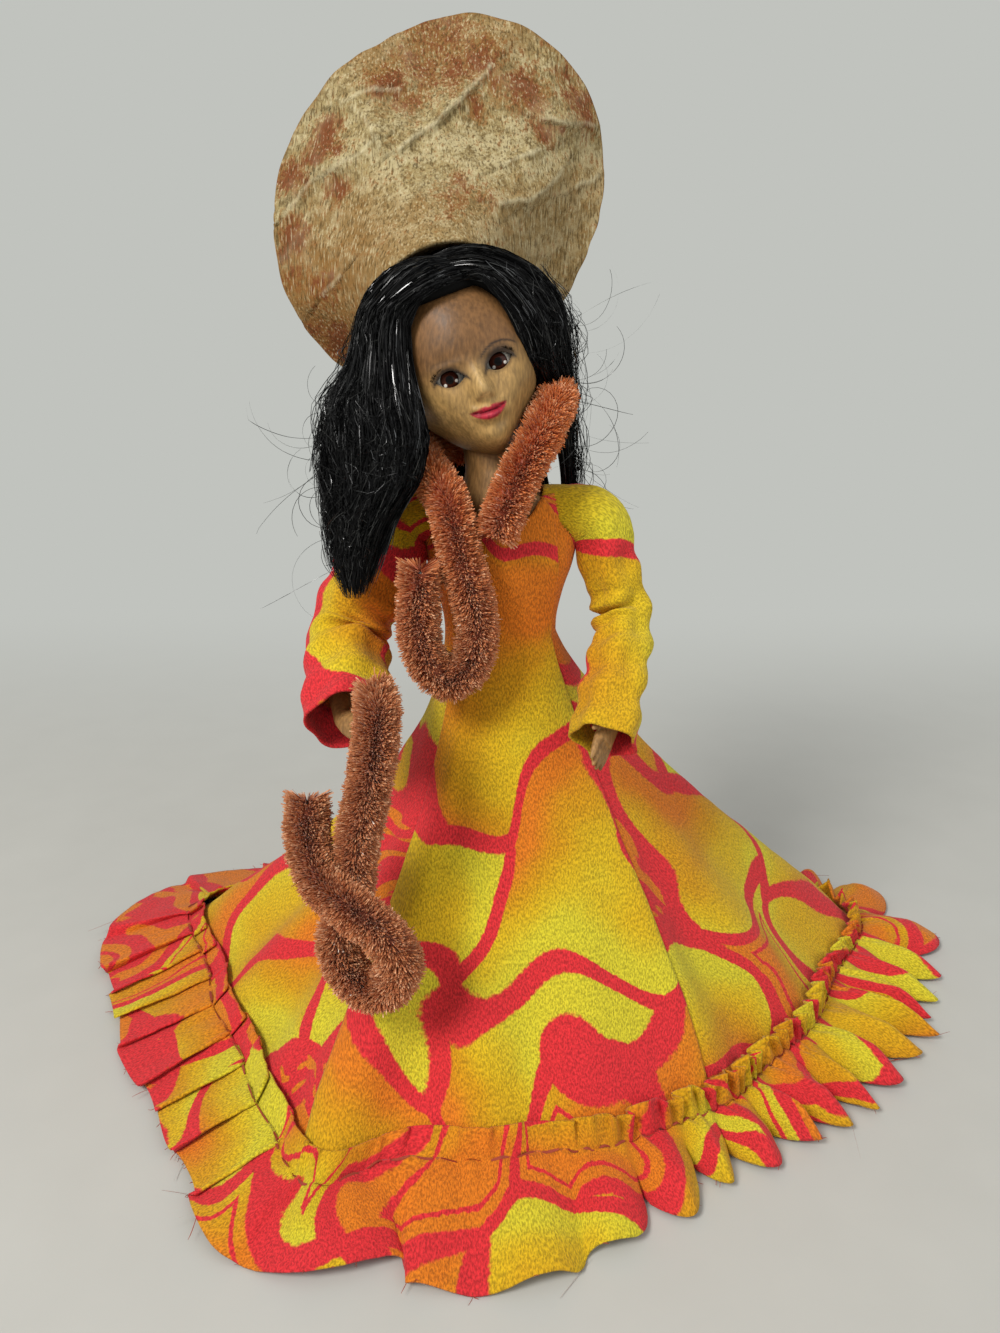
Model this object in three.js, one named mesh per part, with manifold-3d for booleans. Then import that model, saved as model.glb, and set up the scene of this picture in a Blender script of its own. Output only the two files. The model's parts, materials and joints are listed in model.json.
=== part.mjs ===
// Souvenir doll in a long gown: a strung hard-plastic doll with sleep eyes, a wig, a bark-cloth hat,
// chenille garlands and a princess-line gown with a gathered ruffle. Millimetres, +Z up, facing -Y.
// "Right" and "left" are the doll's own, so right is -X.
import * as THREE from "three";
import { mergeVertices } from "three/addons/utils/BufferGeometryUtils.js";
import Module from "manifold-3d";

// Levels above the floor
const HIP_LEVEL = 83.5;
const WAIST_LEVEL = 104;
const SHOULDER_LEVEL = 131;
const NECK_RISE = 11.5;
const NECK_LEVEL = SHOULDER_LEVEL + NECK_RISE;

// Clearances between pieces
const GAP = 0.35;
const CUT_OVERRUN = 5;
const FAR = 400;

// Torso: two moulded half shells with a ball on the neck
const TORSO_WALL = 1.6;
const SEAT_RISE = 4.5;
const BUST_DROP = 10;
const HIP_HALF_WIDTH = 13.6;
const WAIST_HALF_WIDTH = 11.2;
const WAIST_HALF_DEPTH = 8.4;
const CHEST_HALF_WIDTH = 13.4;
const BUST_REACH = 11.2;
const BACK_REACH = 9;
const SEAT_REACH = 9.8;
const BELLY_REACH = 9;
const SHOULDER_HALF_WIDTH = 15.2;
const SHOULDER_HALF_DEPTH = 8.2;
const SHOULDER_SLOPE = 3.6;
const NECK_RADIUS = 3.7;
const NECK_BALL_RADIUS = 5.4;
const LINING_WALL = 1;
const SOCKET_WALL = 1.5;
const SOCKET_RIM_DROP = 2;

// Elastic stringing through the shoulders and the hips
const ELASTIC_RADIUS = 1.1;
const KNOT_RADIUS = 2;

// Head, measured from its own centre
const HEAD_TILT = THREE.MathUtils.degToRad(-20);
const HEAD_TURN = THREE.MathUtils.degToRad(7);
const HEAD_RISE = 21;
const HEAD_HALF_WIDTH = 16;
const HEAD_HALF_HEIGHT = 20;
const HEAD_FRONT = 16.5;
const HEAD_BACK = 18.5;
const HEAD_WALL = 3;
const JAW_TAPER = 0.42;
const NAPE_TAPER = 0.75;
const CHIN_REACH = 5.5;
const NOSE_REACH = 2.6;
const LIP_REACH = 0.9;
const CHEEK_REACH = 0.7;
const SOCKET_DEPTH = 0.9;
const HEAD_SEAM = 2;
const FACE_CROWDING = 0.6;
const CAVITY_RISE = 2.2;
const STRING_BORE = 2.5;

// Sleep eyes on one axle with a lead weight
const EYE_SPACING = 10.4;
const EYE_DROP = 1.4;
const EYEBALL_RADIUS = 3.9;
const EYE_OPENING_WIDTH = 6;
const EYE_OPENING_HEIGHT = 3.8;
const LID_THICKNESS = 0.75;
const EYE_AXLE_RADIUS = 0.6;
const EYE_AXLE_OVERHANG = 1.2;
const EYE_WEIGHT_RADIUS = 2.2;
const EYE_WEIGHT_LENGTH = 5;
const EYE_WEIGHT_ROOM = 0.75;
const EYE_WEIGHT_SEAT = THREE.MathUtils.degToRad(38.6);

// Wig
const HAIR_THICKNESS = 2.8;
const WIG_CAP_GAP = 1;
const HAIRLINE_FRONT = THREE.MathUtils.degToRad(47);
const HAIRLINE_SIDE = THREE.MathUtils.degToRad(97);
const HAIRLINE_BACK = THREE.MathUtils.degToRad(118);
const HAIR_FALL_HALF_WIDTH = 15;
const HAIR_FALL_LENGTH = 21;

// Front locks, from the crown down: place beside the neck, rise above it, half width and half thickness
const RIGHT_LOCK = [
  [-22.7, -9, 30.5, 5, 4], [-25, -12.5, 17.5, 8, 6], [-26, -15, 5.5, 9.8, 6.5],
  [-28.8, -17, -6.5, 5.6, 4.5], [-31, -18, -16.5, 3, 2.8], [-31, -18, -24, 1.3, 1.1],
];
const LEFT_LOCK = [
  [11, 4, 36, 2.4, 5], [13.6, 5.5, 27, 3, 6.5], [15, 7, 17, 3.2, 6.5],
  [16, 8.5, 6, 3, 5], [16.2, 9, -3, 1.6, 2.2],
];

// Hat: a round of bark cloth with a crown that sits on the back of the head
const BARK_THICKNESS = 0.9;
const HAT_AXIS_RISE = THREE.MathUtils.degToRad(50);
const HAT_CROWN_SPAN = THREE.MathUtils.degToRad(46);
const HAT_RADIUS = 37.5;
const HAT_CENTRE = new THREE.Vector3(9, 23, 54);
const HAT_OVAL = 0.08;
const HAT_OVAL_TURN = THREE.MathUtils.degToRad(58);
const HAT_WAVE = 1.6;
const HAT_WAVES = 5;

// Arms: shoulder disc, elbow, wrist and fingertip of each, as they stand in the doll's frame
const SHOULDER_RADIUS = 4.6;
const ELBOW_RADIUS = 3.7;
const WRIST_RADIUS = 2.6;
const PALM_HALF_WIDTH = 3.6;
const PALM_HALF_THICKNESS = 1.7;
const FINGER_RADIUS = 0.95;
const FINGER_LENGTH = 6;
const LEFT_ELBOW = new THREE.Vector3(28, -3, 108);
const LEFT_WRIST = new THREE.Vector3(24, -22, 91.5);
const LEFT_KNUCKLES = new THREE.Vector3(21.5, -27, 86.5);
const RIGHT_ELBOW = new THREE.Vector3(-34, -6, 105);
const RIGHT_WRIST = new THREE.Vector3(-32.5, -25, 91.5);
const RIGHT_KNUCKLES = new THREE.Vector3(-28.5, -30, 91.5);

// Sleeves
const CLOTH = 0.8;
const ARMHOLE_RADIUS = 6.4;
const ARMHOLE_INSET = 3;
const SLEEVE_CAP_RADIUS = 7.1;
const SLEEVE_ELBOW_RADIUS = 7.2;
const LEFT_CUFF_RADIUS = 6.8;
const LEFT_CUFF_REACH = 0.9;
const RIGHT_CUFF_RADIUS = 9.2;
const RIGHT_CUFF_REACH = 0.3;
const SLEEVE_FOLDS = 5;
const SLEEVE_FOLD_DEPTH = 0.5;

// Legs with bare feet
const HIP_SPACING = 14;
const HIP_BALL_RADIUS = 6.3;
const HIP_MOUTH_EASE = 0.8;
const THIGH_RADIUS = 6;
const KNEE_LEVEL = 47;
const KNEE_RADIUS = 4.5;
const CALF_RADIUS = 5;
const CALF_BACK = 0.7;
const ANKLE_LEVEL = 11;
const ANKLE_RADIUS = 3.6;
const FOOT_LENGTH = 22;
const HEEL_BACK = 4.6;
const FOOT_HALF_WIDTH = 4.2;
const FOOT_HEIGHT = 6;

// Gown: princess-line panels from the neckline to the ruffle's stitch line
const GOWN_EASE = 0.9;
const NECKLINE_LEVEL = SHOULDER_LEVEL + 4.6;
const NECKLINE_DROP = 9;
const STITCH_LEVEL = 5;
const SKIRT_HOLLOW = 1.45;
const SKIRT_LEAN = 0.27;
const SKIRT_FOLDS = 11;
const SKIRT_FOLD_DEPTH = 2.2;
const FRONT_SEAM = THREE.MathUtils.degToRad(42);
const BACK_SEAM = THREE.MathUtils.degToRad(128);
const SEAM_GAP = 0.3;
const STITCH_LINE = [
  [2, -56], [24, -52], [48, -41], [71, -20], [87, 3], [103, 34], [74, 51], [0, 52],
  [-62, 51], [-89, 40], [-76, 4], [-60, -28], [-48, -48], [-37, -63], [-23, -57],
];

// Hem ruffle
const RUFFLE_HEADER = 7;
const RUFFLE_SPREAD = 23.5;
const RUFFLE_TUCK = 0.42;
const RUFFLE_TUCK_TURN = THREE.MathUtils.degToRad(46);
const RUFFLE_TUCK_SPAN = THREE.MathUtils.degToRad(24);
const RUFFLE_FLUTES = 26;
const FLUTE_LIFT = 5;
const FLUTE_SWAY = 1.6;
const HEADER_WAVE = 1.6;
const FLOOR_EASE = 0.1;

// Chenille garlands: routes through the pile's middle
const GARLAND_RADIUS = 4.1;
const NECK_GARLAND = [
  [-0.5, -18, 130], [3, -16, 139], [8.5, -11.5, 149], [12.2, 0.5, 156], [9, 11, 151],
  [0, 16, 145.5], [-10.5, 13.6, 144], [-17, 3.5, 143.5], [-14.8, -8.5, 140.5], [-10.8, -16, 135.5],
  [-8, -19, 124], [-4.9, -19, 111], [-6.2, -19.2, 102], [-11, -19.8, 98],
  [-16, -20.3, 104], [-17, -20.3, 113], [-16.6, -20.2, 122],
];
const HAND_GARLAND = [
  [-25, -33, 99.8], [-24.2, -37.4, 97.2], [-25, -41.4, 88.2],
  [-29, -43.5, 70.2], [-31.4, -45, 56.2], [-28.4, -47, 45.2], [-24, -49.5, 36.2], [-27, -50.5, 29.4],
  [-33.5, -49, 32.7], [-37.8, -44, 43.2], [-39.5, -38.5, 56.2], [-40, -35.5, 66.2], [-39.6, -34, 74.2],
];

// Colours
const SKIN = 0x8a6238;
const YELLOW_CLOTH = 0xd9b81f;
const ORANGE_CLOTH = 0xe08a1c;
const RUST_PILE = 0xa5583a;
const BARK = 0xb29a68;
const BLACK_HAIR = 0x0c0b0c;

const wasm = await Module();
wasm.setup();

// Solids and meshes

function solid(geometry) {
  const bare = geometry.index ? geometry.toNonIndexed() : geometry.clone();
  const points = new THREE.BufferGeometry();
  points.setAttribute("position", bare.getAttribute("position"));
  const merged = mergeVertices(points, 1e-4);
  const kept = [];
  const index = merged.index.array;
  for (let i = 0; i < index.length; i += 3) {
    const [a, b, c] = [index[i], index[i + 1], index[i + 2]];
    if (a !== b && b !== c && c !== a) kept.push(a, b, c);
  }
  return new wasm.Manifold(
    new wasm.Mesh({
      numProp: 3,
      vertProperties: merged.attributes.position.array,
      triVerts: new Uint32Array(kept),
    }),
  );
}

function geometryOf(made) {
  const mesh = made.getMesh();
  const geometry = new THREE.BufferGeometry();
  geometry.setAttribute("position", new THREE.Float32BufferAttribute(mesh.vertProperties, 3));
  geometry.setIndex(Array.from(mesh.triVerts));
  geometry.computeVertexNormals();
  return geometry;
}

// A closed shell of triangles, turned so that its faces point out.
function shell(points, triangles) {
  let volume = 0;
  const cross = new THREE.Vector3();
  for (const [a, b, c] of triangles) {
    volume += points[a].dot(cross.crossVectors(points[b], points[c]));
  }
  const index = triangles.flatMap(([a, b, c]) => (volume > 0 ? [a, b, c] : [a, c, b]));
  const geometry = new THREE.BufferGeometry().setFromPoints(points);
  geometry.setIndex(index);
  return geometryOf(solid(geometry));
}

// A solid through a row of rings with equally many points, closed at both ends.
function loft(rings) {
  const count = rings[0].length;
  const points = rings.flat();
  const triangles = [];
  for (let r = 0; r + 1 < rings.length; r += 1) {
    for (let k = 0; k < count; k += 1) {
      const a = r * count + k;
      const b = r * count + ((k + 1) % count);
      triangles.push([a, b, b + count], [a, b + count, a + count]);
    }
  }
  for (const [first, flip] of [[0, true], [(rings.length - 1) * count, false]]) {
    const middle = new THREE.Vector3();
    for (let k = 0; k < count; k += 1) middle.addScaledVector(points[first + k], 1 / count);
    points.push(middle);
    for (let k = 0; k < count; k += 1) {
      const edge = [first + k, first + ((k + 1) % count)];
      if (flip) edge.reverse();
      triangles.push([edge[0], edge[1], points.length - 1]);
    }
  }
  return shell(points, triangles);
}

// A sheet of even thickness over a grid of points; wrap joins the last column to the first.
function sheet(grid, thickness, wrap) {
  const columns = grid.length;
  const rows = grid[0].length;
  const at = (i, j) => grid[(i + columns) % columns][j];
  const outer = [];
  const inner = [];
  for (let i = 0; i < columns; i += 1) {
    for (let j = 0; j < rows; j += 1) {
      const before = wrap || i > 0 ? at(i - 1, j) : at(i, j);
      const after = wrap || i + 1 < columns ? at(i + 1, j) : at(i, j);
      const along = after.clone().sub(before);
      const down = at(i, Math.min(j + 1, rows - 1)).clone().sub(at(i, Math.max(j - 1, 0)));
      if (along.lengthSq() < 1e-9) along.copy(at(i + 1, j + 1)).sub(at(i - 1, j + 1));
      const normal = along.cross(down).normalize().multiplyScalar(thickness / 2);
      outer.push(at(i, j).clone().add(normal));
      inner.push(at(i, j).clone().sub(normal));
    }
  }
  const offset = outer.length;
  const triangles = [];
  const quad = (a, b, c, d) => triangles.push([a, b, c], [a, c, d]);
  const spans = wrap ? columns : columns - 1;
  for (let i = 0; i < spans; i += 1) {
    const a = i * rows;
    const b = ((i + 1) % columns) * rows;
    for (let j = 0; j + 1 < rows; j += 1) {
      quad(a + j, b + j, b + j + 1, a + j + 1);
      quad(offset + a + j + 1, offset + b + j + 1, offset + b + j, offset + a + j);
    }
    quad(offset + a, offset + b, b, a);
    quad(a + rows - 1, b + rows - 1, offset + b + rows - 1, offset + a + rows - 1);
  }
  if (!wrap) {
    const last = (columns - 1) * rows;
    for (let j = 0; j + 1 < rows; j += 1) {
      quad(j, j + 1, offset + j + 1, offset + j);
      quad(last + j + 1, last + j, offset + last + j, offset + last + j + 1);
    }
  }
  return shell([...outer, ...inner], triangles);
}

// A ring of points round a place, across a direction, with the width lying along a side vector.
function ring(place, direction, side, halfWidth, halfThickness, count) {
  const across = side.clone().addScaledVector(direction, -side.dot(direction)).normalize();
  const up = direction.clone().cross(across).normalize();
  return Array.from({ length: count }, (_, k) => {
    const turn = (k / count) * Math.PI * 2;
    return place
      .clone()
      .addScaledVector(across, Math.cos(turn) * halfWidth)
      .addScaledVector(up, Math.sin(turn) * halfThickness);
  });
}

function tube(points, radius, sides, steps) {
  const path = new THREE.CatmullRomCurve3(points);
  const section = new THREE.Shape();
  for (let k = 0; k < sides; k += 1) {
    const turn = (k / sides) * Math.PI * 2;
    const spot = [Math.cos(turn) * radius, Math.sin(turn) * radius];
    if (k === 0) section.moveTo(...spot);
    else section.lineTo(...spot);
  }
  section.closePath();
  return new THREE.ExtrudeGeometry(section, { steps, extrudePath: path, bevelEnabled: false });
}

function ball(radius, place, across = 14, down = 8) {
  return solid(new THREE.SphereGeometry(radius, across, down).translate(...place));
}

// A round bar along X between two places.
function barX(radius, from, to, y, z, sides = 16) {
  const bar = new THREE.CylinderGeometry(radius, radius, to - from, sides);
  return solid(bar.rotateZ(Math.PI / 2).translate((from + to) / 2, y, z));
}

function block(low, high) {
  const size = high.map((value, k) => value - low[k]);
  const middle = high.map((value, k) => (value + low[k]) / 2);
  return solid(new THREE.BoxGeometry(...size).translate(...middle));
}

const doll = new THREE.Group();
const headGroup = new THREE.Group();
headGroup.position.set(0, 0, NECK_LEVEL);
headGroup.rotation.set(0, HEAD_TILT, HEAD_TURN);
headGroup.updateMatrix();
doll.add(headGroup);

function piece(name, made, colour, roughness, parent = doll, metalness = 0) {
  const geometry = made.isBufferGeometry ? made : geometryOf(made);
  const material = new THREE.MeshStandardMaterial({ color: colour, roughness, metalness });
  const mesh = new THREE.Mesh(geometry, material);
  mesh.name = name;
  parent.add(mesh);
  return mesh;
}

// Torso

// Level, half width, reach to the front and reach to the back of the torso, from the hips up.
const torsoBottom = HIP_LEVEL - 1;
const bustLevel = SHOULDER_LEVEL - BUST_DROP;
const slopeTop = SHOULDER_LEVEL + SHOULDER_SLOPE;
const neckRoot = THREE.MathUtils.lerp(slopeTop, NECK_LEVEL, 0.35);
const TORSO_SECTIONS = [
  [torsoBottom, HIP_HALF_WIDTH - 0.6, BELLY_REACH - 0.4, SEAT_REACH - 0.4],
  [HIP_LEVEL + SEAT_RISE, HIP_HALF_WIDTH, BELLY_REACH, SEAT_REACH],
  [WAIST_LEVEL, WAIST_HALF_WIDTH, WAIST_HALF_DEPTH, WAIST_HALF_DEPTH],
  [bustLevel, CHEST_HALF_WIDTH, BUST_REACH, BACK_REACH],
  [SHOULDER_LEVEL, SHOULDER_HALF_WIDTH, SHOULDER_HALF_DEPTH, SHOULDER_HALF_DEPTH],
  [slopeTop, SHOULDER_HALF_WIDTH - SHOULDER_SLOPE, SHOULDER_HALF_DEPTH - 1.6, SHOULDER_HALF_DEPTH - 1.4],
  [(slopeTop + neckRoot) / 2, NECK_RADIUS + 2.4, NECK_RADIUS + 1.2, NECK_RADIUS + 1.2],
  [neckRoot, NECK_RADIUS, NECK_RADIUS, NECK_RADIUS],
  [NECK_LEVEL, NECK_RADIUS, NECK_RADIUS, NECK_RADIUS],
];

function torsoSize(level) {
  const last = TORSO_SECTIONS.length - 1;
  let k = 0;
  while (k < last - 1 && TORSO_SECTIONS[k + 1][0] < level) k += 1;
  const [low, high] = [TORSO_SECTIONS[k], TORSO_SECTIONS[k + 1]];
  const share = THREE.MathUtils.clamp((level - low[0]) / (high[0] - low[0]), 0, 1);
  const eased = share * share * (3 - 2 * share);
  return [1, 2, 3].map((n) => THREE.MathUtils.lerp(low[n], high[n], eased));
}

// A point of the torso's skin, grown outwards; turn 0 is the front, and a quarter turn is +X.
function torsoPoint(level, turn, grow) {
  const [width, front, back] = torsoSize(level);
  const reach = Math.cos(turn) > 0 ? front : back;
  return new THREE.Vector3(
    Math.sin(turn) * (width + grow),
    -Math.cos(turn) * (reach + grow),
    level,
  );
}

// The levels of the sections and of the middles between them, from one level to another.
function torsoLevels(bottom, top) {
  const stops = TORSO_SECTIONS.map(([level]) => level);
  const middles = stops.slice(1).map((level, k) => (level + stops[k]) / 2);
  const within = [...stops, ...middles].filter((level) => level > bottom && level < top);
  return [bottom, ...within.sort((a, b) => a - b), top];
}

function torsoLoft(grow, bottom, top, count) {
  const rings = torsoLevels(bottom, top).map((level) =>
    Array.from({ length: count }, (_, n) => torsoPoint(level, (n / count) * Math.PI * 2, grow)),
  );
  return solid(loft(rings));
}

const hipX = HIP_SPACING / 2;
const hipMouth = HIP_BALL_RADIUS + GAP + HIP_MOUTH_EASE;
const elasticHole = ELASTIC_RADIUS + GAP;
const discX = SHOULDER_HALF_WIDTH - 0.6;

function torso() {
  const outside = torsoLoft(0, torsoBottom, NECK_LEVEL, 16);
  const inside = torsoLoft(-TORSO_WALL, HIP_LEVEL + HIP_BALL_RADIUS + TORSO_WALL, SHOULDER_LEVEL + TORSO_WALL, 12);
  const knob = ball(NECK_BALL_RADIUS, [0, 0, NECK_LEVEL]);
  let made = outside.add(knob).subtract(inside);
  for (const side of [-1, 1]) {
    made = made.subtract(ball(HIP_BALL_RADIUS + GAP, [side * hipX, 0, HIP_LEVEL]));
    const mouth = new THREE.CylinderGeometry(hipMouth, hipMouth, CUT_OVERRUN, 16).rotateX(Math.PI / 2);
    made = made.subtract(solid(mouth.translate(side * hipX, 0, HIP_LEVEL - CUT_OVERRUN / 2)));
    const beyond = [side * discX, side * (SHOULDER_HALF_WIDTH + CUT_OVERRUN)].sort((a, b) => a - b);
    made = made.subtract(barX(SHOULDER_RADIUS + 1, beyond[0], beyond[1], 0, SHOULDER_LEVEL, 16));
  }
  const reach = SHOULDER_HALF_WIDTH + CUT_OVERRUN;
  made = made.subtract(barX(elasticHole, -reach, reach, 0, SHOULDER_LEVEL, 8));
  return made.subtract(barX(elasticHole, -hipX, hipX, 0, HIP_LEVEL, 8));
}

function halves(made, seam, gap) {
  return [
    made.intersect(block([-FAR, -FAR, -FAR], [FAR, seam - gap / 2, FAR])),
    made.intersect(block([-FAR, seam + gap / 2, -FAR], [FAR, FAR, FAR])),
  ];
}

const [torsoFront, torsoBack] = halves(torso(), 0, 0);
piece("torso_front", torsoFront, SKIN, 0.45);
piece("torso_back", torsoBack, SKIN, 0.45);

// An elastic cord along X with a knot at each end.
function elastic(knotX, level) {
  const profile = [new THREE.Vector2(0, -knotX - KNOT_RADIUS)];
  const bite = Math.asin(ELASTIC_RADIUS / KNOT_RADIUS);
  for (let k = 1; k <= 6; k += 1) {
    const turn = (k / 6) * (Math.PI - bite);
    profile.push(new THREE.Vector2(Math.sin(turn) * KNOT_RADIUS, -knotX - Math.cos(turn) * KNOT_RADIUS));
  }
  for (let k = 6; k >= 1; k -= 1) profile.push(new THREE.Vector2(profile[k].x, -profile[k].y));
  profile.push(new THREE.Vector2(0, knotX + KNOT_RADIUS));
  return new THREE.LatheGeometry(profile, 8).rotateZ(-Math.PI / 2).translate(0, 0, level);
}

const armKnotX = discX + GAP + SHOULDER_RADIUS;
piece("arm_elastic", solid(elastic(armKnotX, SHOULDER_LEVEL)), 0xd8d2c0, 0.8);
piece("leg_elastic", solid(elastic(hipX, HIP_LEVEL)), 0xd8d2c0, 0.8);

// Head

function bump(direction, x, y, z, spread) {
  const aim = new THREE.Vector3(x, y, z).normalize();
  const away = direction.distanceTo(aim) / spread;
  return Math.exp(-away * away);
}

// A point of the head's skin in the head's own frame; azimuth 0 is the face, polar 0 the crown.
function headPoint(azimuth, polar, grow) {
  const aim = new THREE.Vector3(
    Math.sin(polar) * Math.sin(azimuth),
    -Math.sin(polar) * Math.cos(azimuth),
    Math.cos(polar),
  );
  const low = Math.max(0, -aim.z);
  const back = aim.y > 0;
  const spot = new THREE.Vector3(
    aim.x * HEAD_HALF_WIDTH * (1 - JAW_TAPER * low ** 1.6),
    aim.y * (back ? HEAD_BACK * (1 - NAPE_TAPER * low ** 1.3) : HEAD_FRONT),
    aim.z * HEAD_HALF_HEIGHT,
  );
  const side = Math.abs(aim.x);
  const face = new THREE.Vector3(side, aim.y, aim.z);
  spot.y -= CHIN_REACH * bump(aim, 0, -0.6, -0.8, 0.42);
  spot.y -= NOSE_REACH * bump(aim, 0, -0.97, -0.24, 0.13);
  spot.y -= LIP_REACH * bump(aim, 0, -0.87, -0.5, 0.14);
  spot.y -= CHEEK_REACH * bump(face, 0.45, -0.83, -0.32, 0.25);
  spot.y += SOCKET_DEPTH * bump(face, 0.32, -0.94, -0.07, 0.16);
  spot.addScaledVector(aim, grow);
  spot.z += HEAD_RISE;
  return spot;
}

function headSolid(grow, around, down) {
  const grid = [];
  for (let k = 0; k <= down; k += 1) {
    const polar = (k / down) * Math.PI;
    const row = [];
    for (let n = 0; n < around; n += 1) {
      const share = n / around;
      const azimuth = Math.PI * 2 * share - FACE_CROWDING * Math.sin(Math.PI * 2 * share);
      row.push(headPoint(azimuth, polar, grow));
    }
    grid.push(row);
  }
  return solid(loft(grid));
}

const liningInside = NECK_BALL_RADIUS + GAP;
const liningOutside = liningInside + LINING_WALL;
const socketRadius = liningOutside + GAP;
const eyeX = EYE_SPACING / 2;
const eyeZ = HEAD_RISE - EYE_DROP;
const eyeShare = (eyeX / HEAD_HALF_WIDTH) ** 2 + (EYE_DROP / HEAD_HALF_HEIGHT) ** 2;
const eyeY = -HEAD_FRONT * Math.sqrt(1 - eyeShare) + SOCKET_DEPTH + LID_THICKNESS + EYEBALL_RADIUS;
const axleReach = eyeX + EYEBALL_RADIUS + EYE_AXLE_OVERHANG;
const axleBore = EYE_AXLE_RADIUS + GAP;
const cavityHalfHeight = HEAD_HALF_HEIGHT - HEAD_WALL - CAVITY_RISE;
const cavityY = (HEAD_BACK - HEAD_FRONT) / 2;
const cavityZ = HEAD_RISE + CAVITY_RISE;

// The lead hangs just clear of the cavity's lower front wall.
const leadKeep = EYE_WEIGHT_RADIUS + EYE_WEIGHT_ROOM;
const leadY = cavityY - Math.sin(EYE_WEIGHT_SEAT) * (HEAD_FRONT - HEAD_WALL - leadKeep);
const leadZ = cavityZ - Math.cos(EYE_WEIGHT_SEAT) * (cavityHalfHeight - leadKeep);
const eyeWeightDrop = Math.hypot(leadY - eyeY, leadZ - eyeZ);
const eyeWeightLean = Math.atan2(leadY - eyeY, eyeZ - leadZ);

function head() {
  const cavity = new THREE.SphereGeometry(1, 14, 9).scale(
    HEAD_HALF_WIDTH - HEAD_WALL,
    HEAD_FRONT - HEAD_WALL,
    cavityHalfHeight,
  );
  const flange = ball(socketRadius + SOCKET_WALL, [0, 0, 0]).intersect(
    block([-FAR, -FAR, -SOCKET_RIM_DROP], [FAR, FAR, FAR]),
  );
  let made = headSolid(0, 30, 17);
  made = made.subtract(block([-FAR, -FAR, -FAR], [FAR, FAR, -SOCKET_RIM_DROP]));
  made = made.subtract(solid(cavity.translate(0, cavityY, cavityZ)));
  made = made.add(flange).subtract(ball(socketRadius, [0, 0, 0]));
  const bore = new THREE.CylinderGeometry(STRING_BORE, STRING_BORE, HEAD_RISE, 12).rotateX(Math.PI / 2);
  made = made.subtract(solid(bore.translate(0, 0, HEAD_RISE / 2)));
  for (const side of [-1, 1]) {
    made = made.subtract(ball(EYEBALL_RADIUS + GAP, [side * eyeX, eyeY, eyeZ], 14, 8));
    const opening = new THREE.CylinderGeometry(1, 1, HEAD_FRONT, 12);
    opening.scale(EYE_OPENING_WIDTH / 2, 1, EYE_OPENING_HEIGHT / 2);
    made = made.subtract(solid(opening.translate(side * eyeX, eyeY - HEAD_FRONT / 2, eyeZ)));
  }
  return made.subtract(barX(axleBore, -axleReach - GAP, axleReach + GAP, eyeY, eyeZ, 10));
}

const [faceShell, headBack] = halves(head(), HEAD_SEAM, GAP);
piece("face_shell", faceShell, SKIN, 0.4, headGroup);
piece("head_back", headBack, SKIN, 0.4, headGroup);

// A felt lining between the neck ball and the head's socket.
const liningCap = block([-FAR, -FAR, -SOCKET_RIM_DROP + LINING_WALL], [FAR, FAR, FAR]);
const stringSlot = STRING_BORE * 0.65;
const lining = ball(liningOutside, [0, 0, 0])
  .intersect(liningCap)
  .subtract(ball(liningInside, [0, 0, 0]))
  .subtract(block([-stringSlot, -stringSlot, 0], [stringSlot, stringSlot, FAR]));
piece("neck_lining", lining, 0xb9a58a, 0.95, headGroup);

// Sleep eyes
for (const [name, side] of [["eyeball_right", -1], ["eyeball_left", 1]]) {
  const bored = ball(EYEBALL_RADIUS, [side * eyeX, eyeY, eyeZ], 14, 9).subtract(
    barX(axleBore, -axleReach, axleReach, eyeY, eyeZ, 8),
  );
  piece(name, bored, 0xe9e4da, 0.2, headGroup);
}
piece(
  "eye_axle",
  barX(EYE_AXLE_RADIUS, -axleReach, axleReach, eyeY, eyeZ, 10),
  0x9a9a98, 0.35, headGroup, 1,
);

function eyeWeight() {
  const collar = 1.1;
  const lead = new THREE.CylinderGeometry(EYE_WEIGHT_RADIUS, EYE_WEIGHT_RADIUS, EYE_WEIGHT_LENGTH, 16);
  const stem = new THREE.BoxGeometry(0.9, 1.4, eyeWeightDrop);
  stem.translate(0, 0, -eyeWeightDrop / 2).rotateX(eyeWeightLean);
  return barX(axleBore + 0.8, -collar / 2, collar / 2, 0, 0, 14)
    .add(solid(stem))
    .add(solid(lead.rotateZ(Math.PI / 2).translate(0, leadY - eyeY, leadZ - eyeZ)))
    .subtract(barX(axleBore, -collar, collar, 0, 0, 10));
}
piece("eye_weight", geometryOf(eyeWeight()).translate(0, eyeY, eyeZ), 0x6d6d70, 0.5, headGroup, 1);

// Wig

const wigMiddle = WIG_CAP_GAP + HAIR_THICKNESS / 2;
const wigOutside = WIG_CAP_GAP + HAIR_THICKNESS + GAP;

function hairline(azimuth) {
  const turn = Math.abs(THREE.MathUtils.euclideanModulo(azimuth + Math.PI, Math.PI * 2) - Math.PI);
  const side = THREE.MathUtils.smoothstep(turn, 0.5, 1.15);
  const back = THREE.MathUtils.smoothstep(turn, 1.3, 2.6);
  return (
    HAIRLINE_FRONT + (HAIRLINE_SIDE - HAIRLINE_FRONT) * side + (HAIRLINE_BACK - HAIRLINE_SIDE) * back
  );
}

// The largest body of a cut solid.
function largest(made) {
  return made.decompose().reduce((best, body) => (body.volume() > best.volume() ? body : best));
}

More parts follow.
